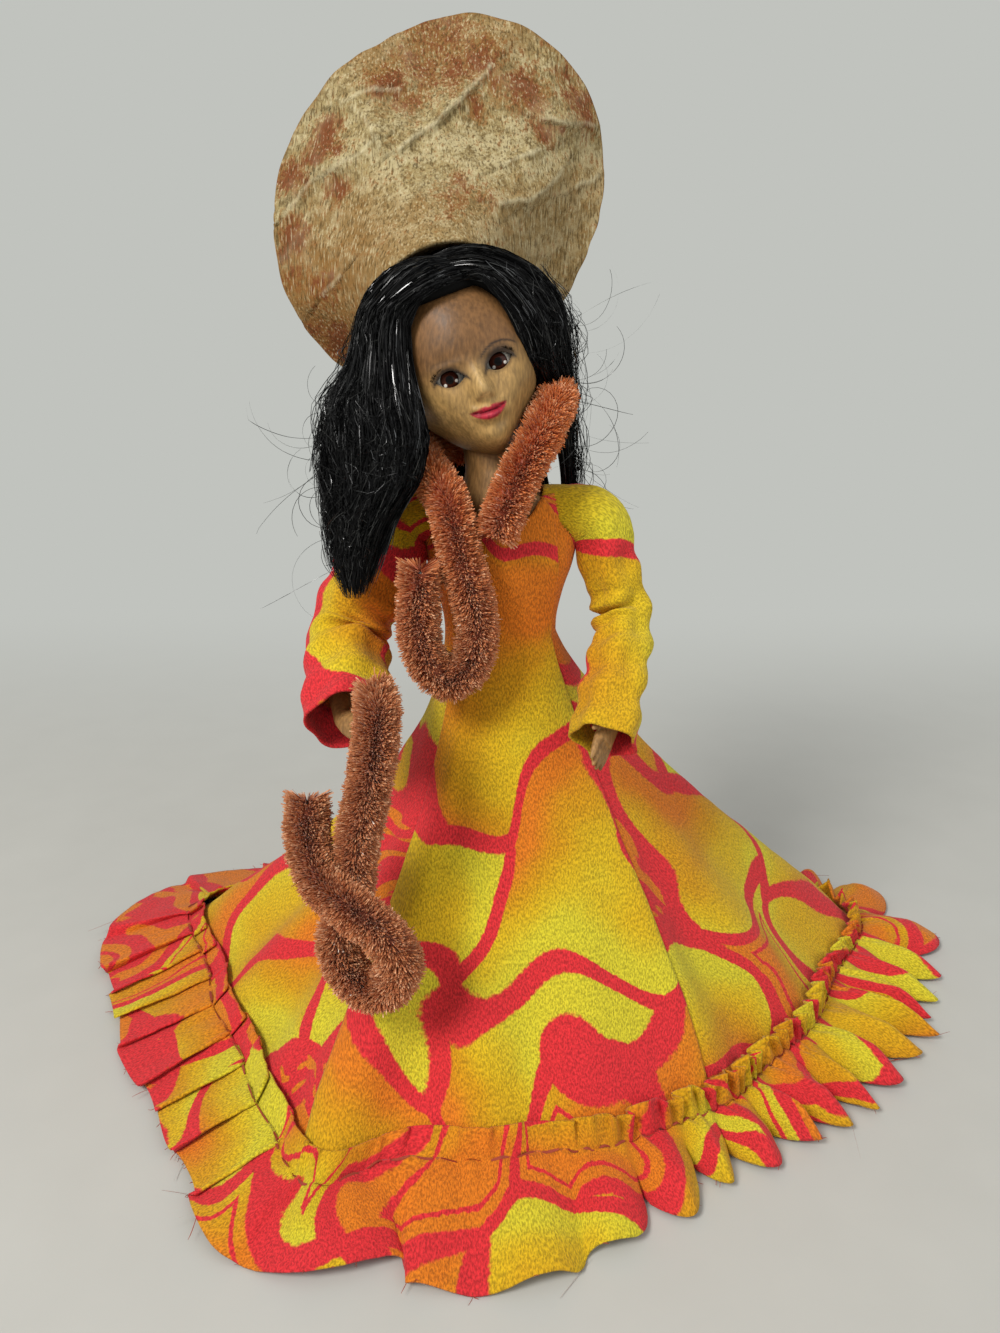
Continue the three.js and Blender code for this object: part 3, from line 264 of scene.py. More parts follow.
def sheet_piece(name, spots, thick, cut=None, paint=None, keep=None, joined=False):
    """Cloth over a grid of points, given its thickness. keep(middle of a face) leaves faces out."""
    rows, columns = spots.shape[:2]
    flat = spots.reshape(-1, 3)
    faces = []
    for row in range(rows - 1):
        for column in range(columns - 1):
            corner = row * columns + column
            face = (corner, corner + columns, corner + columns + 1, corner + 1)
            if keep is None or keep(flat[list(face)].mean(axis=0)):
                faces.append(face)
    cut = cut_sizes(spots) if cut is None else cut
    paint = None if paint is None else paint.reshape(-1, 4)
    piece = mesh_piece(name, flat, faces, cut.reshape(-1, 2), paint)
    if joined:
        rework(piece.data, join_corners)
    finish_with(piece, "SOLIDIFY", thickness=thick, offset=0)
    return piece


def ribbons(routes, thick, rng):
    """Corners, faces and paint of flat hairs along routes, thinner towards both ends. Paint holds the share along the
    hair and two chances."""
    routes = np.asarray(routes)
    count, steps = routes.shape[:2]
    aim = np.gradient(routes, axis=1)
    aim /= np.linalg.norm(aim, axis=2)[..., None] + 1e-12
    side = np.cross(aim, rng.normal(size=(count, 1, 3)))
    side /= np.linalg.norm(side, axis=2)[..., None] + 1e-12
    share = np.linspace(0, 1, steps)
    girth = thick * (0.35 + 0.65 * np.sin(np.pi * np.clip(share, 0.04, 0.97)) ** 0.5)
    side = side * girth[None, :, None]
    corners = np.stack([routes - side, routes + side], axis=2)
    first = (np.arange(count) * steps * 2)[:, None] + (np.arange(steps - 1) * 2)[None]
    faces = np.stack([first, first + 1, first + 3, first + 2], axis=2).reshape(-1, 4)
    paint = layers((count, steps, 2), share[None, :, None], rng.random((count, 1, 1)), rng.random((count, 1, 1)))
    return corners.reshape(-1, 3), faces, paint.reshape(-1, 4)


def hairs(name, routes, thick, rng):
    """Fine flat hairs in one piece."""
    corners, faces, paint = ribbons(routes, thick, rng)
    return mesh_piece(name, corners, faces.tolist(), None, paint)


def tube_faces(rows, sides):
    here = np.arange(rows - 1)[:, None] * sides + np.arange(sides)
    after = np.arange(rows - 1)[:, None] * sides + (np.arange(sides) + 1) % sides
    return np.stack([here, after, after + sides, here + sides], axis=2).reshape(-1, 4)


def tube(name, line, radius, sides=8):
    """A round cord of even thickness along a line, closed at its ends."""
    ring = ringed(np.arange(sides) * 2 * np.pi / sides, *line_sides(line)[1:])
    corners = (line[:, None] + ring * radius).reshape(-1, 3)
    caps = [list(range(sides))[::-1], list(range(len(corners) - sides, len(corners)))]
    return mesh_piece(name, corners, tube_faces(len(line), sides).tolist() + caps)


def dress(piece, finish, slot, body, *nodes):
    """Gives a piece its finish and hides the solids that it replaces; the slot is not used. Its body is the one it
    rides on; where two bodies are given, with the levels or places where each would be followed, no blend is made and
    its placing is only baked into its mesh."""
    coat(piece, finish)
    if isinstance(body, str):
        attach(piece, body)
    else:
        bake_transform(piece)
    if nodes:
        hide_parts(*nodes)


# Finishes


def ink(code):
    """A colour as it is seen, from its hex code."""
    levels = [int(code[n:n + 2], 16) / 255 for n in (0, 2, 4)]
    return (*[level / 12.92 if level <= 0.04045 else ((level + 0.055) / 1.055) ** 2.4 for level in levels], 1)


class Nodes:
    """The nodes of a material or a world. Most methods add a node and give one of its outputs."""

    def __init__(self, owner):
        owner.use_nodes = True
        self.tree = owner.node_tree

    def fill(self, socket, value):
        """Fills a socket with another's output, a hex code's colour or a plain value."""
        if isinstance(value, bpy.types.NodeSocket):
            self.tree.links.new(value, socket)
        else:
            socket.default_value = ink(value) if isinstance(value, str) else value

    def add(self, kind, sockets, out=0, **settings):
        """A node with its settings and sockets filled: one of its outputs, or all of them for out=None."""
        node = self.tree.nodes.new("ShaderNode" + kind)
        for name, value in settings.items():
            setattr(node, name, value)
        for socket, value in sockets.items():
            self.fill(node.inputs[socket], value)
        return node.outputs if out is None else node.outputs[out]

    def reckon(self, kind, first, second=0.0, third=0.0):
        return self.add("Math", {0: first, 1: second, 2: third}, operation=kind)

    def plus(self, first, second):
        return self.reckon("ADD", first, second)

    def less(self, first, second):
        return self.reckon("SUBTRACT", first, second)

    def times(self, first, second):
        return self.reckon("MULTIPLY", first, second)

    def scaled(self, value, by, more=0.0):
        return self.reckon("MULTIPLY_ADD", value, by, more)

    def rise(self, value, low, high, least=0.0, most=1.0):
        sockets = {"Value": value, "From Min": low, "From Max": high, "To Min": least, "To Max": most}
        return self.add("MapRange", sockets, interpolation_type="SMOOTHSTEP")

    def vector(self, kind, first, second=(0, 0, 0), third=(0, 0, 0), out=0):
        return self.add("VectorMath", {0: first, 1: second, 2: third}, out=out, operation=kind)

    def stretched(self, where, x, y, z=1.0):
        return self.vector("MULTIPLY", where, (x, y, z))

    def here(self):
        return self.add("TexCoord", {}, out="Object")

    def paint(self):
        return self.add("Attribute", {}, out="Color", attribute_name="paint")

    def painted(self):
        """The three values that a piece's paint holds."""
        return self.add("SeparateColor", {0: self.paint()}, out=None)[:3]

    def grain(self, where, size, detail=2.0, out=0, rough=0.5, bend=0.0):
        sockets = {"Vector": where, "Scale": 1 / size, "Detail": detail, "Roughness": rough, "Distortion": bend}
        return self.add("TexNoise", sockets, out=out)

    def dye(self, share, first, second, kind="MIX"):
        return self.add("Mix", {0: share, 6: first, 7: second}, out=2, data_type="RGBA", blend_type=kind)

    def coats(self, colour, *coats):
        """A colour under coats of other ones, each with the share that covers."""
        for share, code in coats:
            colour = self.dye(share, colour, code)
        return colour

    def shaded(self, colour, tone):
        return self.dye(1.0, colour, self.add("CombineColor", {0: tone, 1: tone, 2: tone}), "MULTIPLY")


class Finish(Nodes):
    """A new material and its shader."""

    def __init__(self, name, **sockets):
        self.material = bpy.data.materials.new(name)
        super().__init__(self.material)
        self.shader = self.tree.nodes["Principled BSDF"]
        self.set(**sockets)

    def set(self, **sockets):
        for name, value in sockets.items():
            self.fill(self.shader.inputs[name.replace("_", " ")], value)

    def relief(self, height, depth, strength):
        self.set(Normal=self.add("Bump", {"Height": height, "Distance": depth, "Strength": strength}))


YELLOW, LEMON, ORANGE, AMBER, CORAL = "d6b01a", "d3c52e", "db791b", "d09512", "d93036"
EYE_WHITE = "e9e4da"
WALL = "c1c3be"


def printed_crepe(name, slip, coral_share, patch=0.042, tilt=0.0, bodice=0.0):
    """Crepe printed with rounded patches in yellow to orange, edged in coral. slip and tilt place the cut on the
    print, and bodice is how far it leans to orange above the waist."""
    f = Finish(name, Roughness=0.85, Sheen_Weight=0.08, Sheen_Roughness=0.5, Specular_IOR_Level=0.22)
    cut = f.add("UVMap", {}, uv_map="cut")
    where = f.add("Mapping", {"Vector": cut, "Location": (*slip, 0), "Rotation": (0, 0, tilt)})
    swirl = f.vector("SUBTRACT", f.grain(where, 0.042, 0.6, out=1), (0.5, 0.5, 0.5))
    bent = f.vector("MULTIPLY_ADD", swirl, (0.085, 0.085, 0), where)
    cells = {"Vector": bent, "Scale": 1 / patch, "Randomness": 0.85}
    edge = f.add("TexVoronoi", cells, voronoi_dimensions="2D", feature="DISTANCE_TO_EDGE")
    cell = f.add("TexVoronoi", cells, out=None, voronoi_dimensions="2D")
    chance = f.add("SeparateColor", {0: cell["Color"]}, out=None)
    # Each patch turns from lemon to orange along a heading of its own.
    inside = f.vector("SUBTRACT", bent, cell["Position"])
    heading = f.add("CombineXYZ", {0: f.less(chance[0], 0.5), 1: f.less(chance[2], 0.5)})
    ramp = f.vector("DOT_PRODUCT", inside, f.vector("NORMALIZE", heading), out="Value")
    ramp = f.scaled(ramp, 1.1 / patch, f.scaled(chance[1], 0.6, 0.32))
    ramp = f.plus(ramp, f.scaled(f.grain(where, 0.012, 2.0), 0.3, -0.15))
    if bodice:
        level = f.add("SeparateXYZ", {0: f.here()}, out="Z")
        ramp = f.plus(ramp, f.rise(level, 0.09, 0.118, 0.0, bodice))
    fill = f.dye(f.rise(ramp, 0.05, 0.4), LEMON, YELLOW)
    fill = f.coats(fill, (f.rise(ramp, 0.35, 0.65), AMBER), (f.rise(ramp, 0.6, 0.95), ORANGE))
    fuzz = f.scaled(f.grain(where, 0.0011, 1.0), 0.03, -0.015)
    streak = f.grain(f.stretched(inside, 2.4, 0.8), 0.016, 1.0, bend=0.3)
    warm = f.dye(f.rise(f.plus(streak, fuzz), 0.53, 0.56), CORAL, ORANGE)
    line = f.less(f.plus(edge, fuzz), f.scaled(f.grain(bent, 0.03, 1.0), 0.09))
    nested = f.rise(f.reckon("ABSOLUTE", f.less(line, 0.15)), 0.026, 0.014)
    fill = f.coats(fill, (f.rise(chance[0], 1 - coral_share, 1.005 - coral_share), warm),
                   (f.rise(line, 0.04, 0.022), CORAL), (f.times(nested, f.rise(chance[1], 0.7, 0.705)), CORAL))
    crepe = f.grain(f.stretched(cut, 1 / 0.00036, 1 / 0.0007), 1.0, 1.0, bend=0.4)
    crinkle = f.grain(f.stretched(cut, 1.0, 0.6), 0.0026, 2.0)
    f.set(Base_Color=f.shaded(fill, f.rise(crepe, 0.28, 0.7, 0.6, 1.14)))
    f.relief(f.scaled(crinkle, 0.6, crepe), 0.0004, 0.7)
    return f.material


def brown_skin(name, base=None):
    """Satin brown plastic with a mottled, streaky tone; without a base colour it takes the piece's paint for one."""
    f = Finish(name, Specular_IOR_Level=0.35)
    here = f.here()
    base = base or f.paint()
    streak = f.grain(f.stretched(here, 1, 1, 0.3), 0.0006, 2.0)
    patch = f.grain(here, 0.006, 2.0)
    tone = f.rise(f.scaled(patch, 0.45, f.times(streak, 0.75)), 0.35, 0.85, 0.62, 1.32)
    f.set(Base_Color=f.shaded(base, tone), Roughness=f.rise(patch, 0.2, 0.8, 0.42, 0.6))
    f.relief(streak, 0.00008, 0.5)
    return f.material


def black_hair(name, light, rough, glint):
    """Black fibre; a few of its hairs catch the light."""
    f = Finish(name)
    tone, shine = f.painted()[1:]
    f.set(Base_Color=f.dye(tone, "040404", light), Roughness=f.rise(shine, 0, 1, rough, rough + 0.2),
          Specular_IOR_Level=f.rise(shine, 0.3, 0.02, 0.1, glint))
    return f.material


def chenille_pile(name):
    """Clipped rust pile: deeper at the core, which is painted shade deep in the pile, paler at the clipped tips, with
    a few white glints painted on as highlights.
    """
    f = Finish(name, Roughness=0.55, Sheen_Weight=0.2, Sheen_Roughness=0.4)
    along, chance, low = f.painted()
    deep, bright = f.dye(low, "b04e24", "914728"), f.dye(low, "e08445", "cc8353")
    # Each bristle is painted darker towards its root as painted shade, and a few are painted near-white as painted
    # highlights.
    tips = f.times(f.rise(along, 0.6, 1.0), f.rise(chance, 0.45, 0.95))
    f.set(Base_Color=f.coats(f.dye(f.rise(along, 0.15, 0.95), deep, bright),
                             (f.rise(chance, 0.45, 0.0, 0.0, 0.5), "9a4529"), (tips, "efbd92"),
                             (f.rise(chance, 0.978, 0.98), "ffeedd")))
    return f.material


def bark_cloth(name):
    """Beaten bark: khaki with dark fibres, rust stains, and pale lines on its creases, partly wear of the fibres and
    partly a painted highlight on their ridges. Paint holds the rust stains, the pale lines on creases, and brown
    stains together with painted shade.
    """
    f = Finish(name, Roughness=0.9, Specular_IOR_Level=0.2)
    here = f.here()
    stain, crease_wear_and_highlight, ochre_and_shade = f.painted()
    fibre = f.grain(f.stretched(here, 1, 1, 0.14), 0.00042, 2.0)
    shreds = f.grain(f.stretched(here, 1, 1, 0.3), 0.0009, 4.0, rough=0.8)
    blotch = f.grain(here, 0.005, 5.0, rough=0.75)
    mottle = f.grain(here, 0.0016, 4.0, rough=0.8)
    rust = stain
    for patches, weight in ((mottle, 1.5), (shreds, 1.6), (blotch, 1.2)):
        rust = f.scaled(f.less(patches, 0.5), weight, rust)
    # The coat from the paint's third value is brown stains together with painted shade low on the brim; the last coat
    # is pale lines on the creases, partly wear and partly a painted highlight.
    f.set(Base_Color=f.coats(f.dye(f.rise(mottle, 0.38, 0.6), "7c6a45", "a69467"),
                             (f.rise(blotch, 0.46, 0.58, 0, 0.7), "c3b58b"),
                             (f.rise(blotch, 0.44, 0.34, 0, 0.6), "8d6a3c"),
                             (f.times(ochre_and_shade, f.rise(mottle, 0.25, 0.6, 0.4, 0.9)), "8a6434"),
                             (f.rise(rust, 0.1, 0.42, 0, 0.75), "8a5d2c"),
                             (f.rise(rust, 0.3, 0.78, 0, 0.92), "743e20"),
                             (f.rise(fibre, 0.46, 0.34, 0, 0.7), "4c3a1b"),
                             (f.rise(fibre, 0.58, 0.68, 0, 0.45), "d2c6a0"),
                             (f.times(crease_wear_and_highlight, f.rise(mottle, 0.25, 0.6)), "dcd1ab")))
    f.relief(f.scaled(mottle, 1.5, fibre), 0.0003, 0.7)
    return f.material


def glass_eye(name, middle, gaze):
    """A glossy white eye with a big brown iris and two painted highlights as glints, and over it the skin-coloured
    lid that closes it.
    """
    f = Finish(name, Roughness=0.2, Specular_IOR_Level=0.15)
    own_frame = {"Vector": f.here(), "Location": middle, "Rotation": HEAD.to_euler(), "Scale": (MM, MM, MM)}
    here = f.add("Mapping", own_frame, vector_type="TEXTURE")
    x, y, z = f.add("SeparateXYZ", {0: here}, out=None)
    aside = f.less(x, gaze)

    def squares(across, up):
        return f.plus(f.times(across, across), f.times(up, up))

    far = f.reckon("SQRT", squares(aside, z))
    brown = f.dye(f.grain(here, 0.35, 2.0), "2c120c", "55281a")
    colour = f.coats("060405", (f.rise(far, 0.75, 0.95), brown), (f.rise(far, 1.55, 1.85), "180a08"),
                     (f.rise(far, 1.8, 2.05), EYE_WHITE))
    # Two painted highlights: small near-white spots low on either side of the iris.
    for glint_x, glint_z in ((-1.15, -0.75), (1.3, -0.55)):
        spot = squares(f.less(aside, glint_x), f.less(z, glint_z))
        colour = f.dye(f.rise(spot, 0.16, 0.05), colour, "f2efe8")
    f.set(Base_Color=f.coats(colour, (f.rise(y, -1.2, -0.6), EYE_WHITE), (f.rise(z, 1.25, 1.6), "140b09"),
                             (f.rise(z, 1.95, 2.05), "7d5731")))
    return f.material


def plain_thread(name, code, other):
    f = Finish(name, Roughness=0.8)
    f.set(Base_Color=f.dye(f.grain(f.here(), 0.0012, 2.0), code, other))
    return f.material


def drawn_metal(name, code, rough):
    f = Finish(name, Metallic=1.0)
    scratch = f.grain(f.stretched(f.here(), 0.2, 1, 1), 0.0004, 3.0)
    f.set(Base_Color=f.dye(scratch, code, "8c8c88"), Roughness=f.rise(scratch, 0, 1, rough, rough + 0.25))
    return f.material


skin = brown_skin("brown_skin", "9a7344")
face_skin = brown_skin("made_up_face")
hair_finish = black_hair("black_hair", "1a1a1b", 0.24, 0.95)
wig_finish = black_hair("wig_ground", "070707", 0.55, 0.15)
pile_finish = chenille_pile("rust_pile")
bark_finish = bark_cloth("bark_cloth")
wire_finish = drawn_metal("drawn_wire", "5e5c58", 0.35)
lead_finish = drawn_metal("dull_lead", "4a4a4c", 0.6)
elastic_finish = plain_thread("braided_elastic", "c9c0a4", "a89f84")
felt_finish = plain_thread("neck_felt", "a58c66", "8c7450")
gather_finish = plain_thread("gather_thread", "7c2a1c", "a8452c")

for node, finish in (("eye_axle", wire_finish), ("eye_weight", lead_finish), ("arm_elastic", elastic_finish),
                     ("leg_elastic", elastic_finish), ("neck_lining", felt_finish)):
    coat(frame["nodes"][node], finish)


# Garlands: a bent wire core in clipped pile

WIRE_RADIUS = 0.001
PILE_RADIUS = 4.6
TUFT_HAIRS = 11
GROUND_SIDES = 10
# Levels between which the pile turns browner
PILE_TOP, PILE_FOOT = 152, 98
NECK_GARLAND = ((-0.5, -18, 130), (3, -16, 139), (8.5, -11.5, 149), (12.2, 0.5, 156), (9, 11, 151), (0, 16, 145.5),
                (-10.5, 13.6, 144), (-17, 3.5, 143.5), (-14.8, -8.5, 140.5), (-10.8, -16, 135.5), (-8, -19, 124),
                (-4.9, -19, 111), (-6.2, -19.2, 102), (-11, -19.8, 98), (-16, -20.3, 104), (-17, -20.3, 113),
                (-16.6, -20.2, 122))
HAND_GARLAND = ((-25, -33, 99.8), (-24.2, -37.4, 97.2), (-25, -41.4, 88.2), (-28.3, -43.5, 73), (-30.2, -45, 60),
                (-33, -45.5, 50), (-30, -47, 43), (-24.5, -49, 41.5), (-19.8, -51, 48), (-22.5, -53, 57),
                (-29, -52, 62.5), (-35.5, -47.5, 66), (-38.4, -43, 72), (-38.6, -40, 79))


def garland(name, knots, body, tufts, seed):
    """A bent wire with tufts of clipped pile that lean a little every way."""
    rng = np.random.default_rng(seed)
    route = even_line(knots, 180)
    line = placed(route)
    core = tube(name + "_wire", line, WIRE_RADIUS)
    aim, side, up = line_sides(route)
    count = tufts * TUFT_HAIRS
    last = len(route) - 1

    def each(values):
        return np.repeat(values, TUFT_HAIRS)

    tuft_at = each(rng.random(tufts) * last)
    tuft_turn = each(rng.random(tufts) * 2 * np.pi)
    at = np.clip(tuft_at + rng.normal(0, 0.75, count), 0, last)
    turn = tuft_turn + rng.normal(0, 0.3, count)
    low = np.minimum(at.astype(int), last - 1)
    share = (at - low)[:, None]

    def along(values):
        return values[low] * (1 - share) + values[low + 1] * share

    root = along(route)
    tip_turn = turn + (tuft_turn - turn) * 0.3 + rng.normal(0, 0.05, count)
    tip_out = along(side) * np.cos(tip_turn)[:, None] + along(up) * np.sin(tip_turn)[:, None]
    slide = each(rng.normal(0, 0.5, tufts)) + rng.normal(0, 0.35, count)
    reach = PILE_RADIUS * (each(rng.uniform(0.86, 1.08, tufts)) + rng.normal(0, 0.05, count))
    ends = np.minimum(at, last - at) / 6
    slide += np.where(ends < 1, (1 - ends) * np.where(at < last / 2, -1.6, 1.6), 0)
    tip = root + tip_out * reach[:, None] + along(aim) * slide[:, None]
    way = tip - root
    root = root + way * 0.12
    wide = unit(np.cross(way, rng.normal(size=(count, 3))))
    corners = np.stack([root - wide * 0.16, root + wide * 0.16, tip + wide * 0.11, tip - wide * 0.11], axis=1)
    chance = 0.45 * each(rng.random(tufts)) + 0.55 * rng.random(count)
    brown = ease(root[:, 2], PILE_TOP, PILE_FOOT)
    paint = layers((count, 4), (0, 0, 1, 1), chance[:, None], brown[:, None])
    # The pile is thick enough to hide its wire: a ground of its own colour stands for the fibres between the tufts.
    # It is painted as the pile a quarter of the way out from its roots, so with part of their painted shade.
    ring = ringed(np.arange(GROUND_SIDES) * 2 * np.pi / GROUND_SIDES, side, up)
    ground = (route[:, None] + 0.6 * PILE_RADIUS * ring).reshape(-1, 3)
    brown = ease(ground[:, 2], PILE_TOP, PILE_FOOT)
    tint = layers((len(ground),), 0.25, 0.5 * rng.random(len(ground)), brown)
    corners = np.concatenate([corners.reshape(-1, 3), ground])
    faces = np.concatenate([np.arange(count * 4).reshape(-1, 4), tube_faces(len(route), GROUND_SIDES) + count * 4])
    paint = np.concatenate([paint.reshape(-1, 4), tint])
    pile = mesh_piece(name + "_pile", placed(corners), faces.tolist(), None, paint)
    dress(core, wire_finish, "wire", body)
    dress(pile, pile_finish, "pile", body, name)


garland("neck_garland", NECK_GARLAND, ("torso", "neck", 129, 150), 5600, 4)
garland("hand_garland", HAND_GARLAND, "garland", 5000, 5)


# Body: torso, neck and limbs

# Stations up the torso: level, half width, depth in front and depth behind
TORSO = np.array(((82.5, 13.0, 8.6, 9.4), (88, 13.6, 9, 9.8), (104, 11.2, 8.4, 8.4), (121, 13.4, 11.2, 9),
                  (131, 15.2, 8.2, 8.2), (134.6, 11.6, 6.6, 6.8), (136, 6.1, 4.9, 4.9), (137.365, 3.7, 3.7, 3.7),
                  (142.5, 3.7, 3.7, 3.7)))


def torso_spots(level, turn, grow):
    """Points on the body, or on cloth over it, at a level and a turn from the front."""
    level, turn, grow = together(level, turn, grow)
    row = np.clip(np.searchsorted(TORSO[:, 0], level, side="right") - 1, 0, len(TORSO) - 2)
    share = ease(level, TORSO[row, 0], TORSO[row + 1, 0])
    wide, front, back = [TORSO[row, n] + (TORSO[row + 1, n] - TORSO[row, n]) * share for n in (1, 2, 3)]
    deep = np.where(np.cos(turn) > 0, front, back)
    return np.stack([np.sin(turn) * (wide + grow), -np.cos(turn) * (deep + grow), level], axis=-1)


def round_blank(name, columns, rows):
    """A ball to shape, and the turn from the front and the angle from the top of each of its corners."""
    bpy.ops.object.select_all(action="DESELECT")
    bpy.ops.mesh.primitive_uv_sphere_add(segments=columns, ring_count=rows, radius=1)
    piece = bpy.context.object
    piece.name = name
    bpy.ops.object.shade_smooth()
    return piece, *turned(np.array([corner.co for corner in piece.data.vertices]))


def shape_to(piece, spots):
    piece.data.vertices.foreach_set("co", np.asarray(spots, float).ravel())
    piece.data.update()


def closed_ends(polar, sharp):
    """1 along a ball's sides, and falling to 0 at its two poles."""
    return np.sin(np.clip(np.minimum(polar, np.pi - polar) * sharp, 0, np.pi / 2))


def body_skin():
    foot, top = 82.5, 141.5
    piece, turn, polar = round_blank("body_skin", 64, 72)
    spots = torso_spots(foot + (top - foot) * (1 - np.clip(polar / np.pi, 0, 1)), turn, 0)
    spots[:, :2] *= closed_ends(polar, 14)[:, None]
    shape_to(piece, placed(spots))
    dress(piece, skin, "skin", "torso", "torso_front", "torso_back")


def neck_skin():
    piece, turn, polar = round_blank("neck_skin", 40, 36)
    share = 1 - polar / np.pi
    level = 131 + 20 * share
    radius = np.interp(share, (0, 0.25, 0.5, 1), (9.6, 8.4, 7.4, 6.6)) * closed_ends(polar, 9)
    lean = np.clip(level - 140, 0, None)
    x = np.sin(turn) * radius - 0.2 * lean
    y = -np.cos(turn) * radius * 0.92 - 0.8 + 0.1 * lean
    shape_to(piece, placed(np.stack([x, y, level], axis=1)))
    dress(piece, skin, "skin", ("torso", "neck", 135, 142.5))


def limb(node, fine):
    """A limb's solid, with its edges rounded as moulded plastic is."""
    piece = bpy.data.objects.new(node + "_skin", frame["nodes"][node].data.copy())
    bpy.context.scene.collection.objects.link(piece)
    rework(piece.data, join_corners)
    finish_with(piece, "REMESH", mode="VOXEL", voxel_size=fine)
    finish_with(piece, "SMOOTH", factor=0.5, iterations=5)
    pick(piece)
    bpy.ops.object.shade_smooth()
    dress(piece, skin, "skin", node, node)


body_skin()
neck_skin()
for limb_name, voxel in (("left_arm", 0.0003), ("right_arm", 0.0003), ("left_leg", 0.0006), ("right_leg", 0.0006)):
    limb(limb_name, voxel)


# Head, in its own frame

EYE_X, EYE_Y, EYE_Z = 5.2, -10.01, 19.6
HEAD_HALF_WIDTH, HEAD_FRONT, HEAD_BACK, HEAD_HALF_HEIGHT, HEAD_MIDDLE = 16, 16.5, 18.5, 20, 21
EYE_RADIUS = 3.9
EYE_HALF_WIDTH, UPPER_LID, LOWER_LID, EYE_SLANT = 3.0, 1.75, 1.5, 0.37
MOUTH_Z, MOUTH_HALF_WIDTH = 11.4, 4.1
HEAD_SHELL, LASH = 0.0009, 0.00009


def swell(aim, toward, spread):
    return hump(np.linalg.norm(aim - unit(np.array(toward)), axis=-1), 0, spread)


def head_spots(turn, polar, grow):
    """Points of the head, or of hair and hat over it, by turn from the front and angle from the top."""
    turn, polar, grow = together(turn, polar, grow)
    aim = aimed(turn, polar)
    low = np.clip(-aim[..., 2], 0, None)
    x = aim[..., 0] * HEAD_HALF_WIDTH * (1 - 0.42 * low ** 1.6)
    y = aim[..., 1] * np.where(aim[..., 1] > 0, HEAD_BACK * (1 - 0.75 * low ** 1.3), HEAD_FRONT)
    z = aim[..., 2] * HEAD_HALF_HEIGHT
    aside = np.stack([np.abs(aim[..., 0]), aim[..., 1], aim[..., 2]], axis=-1)
    # Chin, nose, mouth and cheeks stand out, and the eyes lie deeper.
    for way, toward, spread, out in ((aim, (0, -0.6, -0.8), 0.42, 5.5), (aim, (0, -0.97, -0.24), 0.13, 2.6),
                                     (aim, (0, -0.87, -0.5), 0.14, 0.9), (aside, (0.45, -0.83, -0.32), 0.25, 0.7),
                                     (aside, (0.32, -0.94, -0.07), 0.16, -0.9)):
        y = y - out * swell(way, toward, spread)
    return np.stack([x, y, z + HEAD_MIDDLE], axis=-1) + aim * grow[..., None]


def almond(side, push):
    """The outline of an eye's opening: corners at its two ends, upper lid higher."""
    across = np.linspace(-1, 1, 15)
    arch = 1 - across ** 2
    across = EYE_HALF_WIDTH * np.concatenate([across, across[-2:0:-1]])
    high = np.concatenate([UPPER_LID * arch, -LOWER_LID * arch[-2:0:-1]])
    tilt = math.radians(7)
    x = across * math.cos(tilt) - high * math.sin(tilt)
    z = across * math.sin(tilt) + high * math.cos(tilt)
    outline = np.stack([side * EYE_X + side * x, push + 0 * x, EYE_Z + z], axis=1)
    return outline if side > 0 else outline[::-1]


def mouth_line(x):
    """Place across the mouth, from -1 to 1, and the level where the lips meet."""
    across = x / MOUTH_HALF_WIDTH
    return across, MOUTH_Z + 0.75 * across ** 2


def tinted(colour, toward, share):
    """Colours moved by a share towards a hex code's colour, or towards other colours."""
    toward = np.array(ink(toward)) if isinstance(toward, str) else toward
    return colour + (toward - colour) * share[:, None]


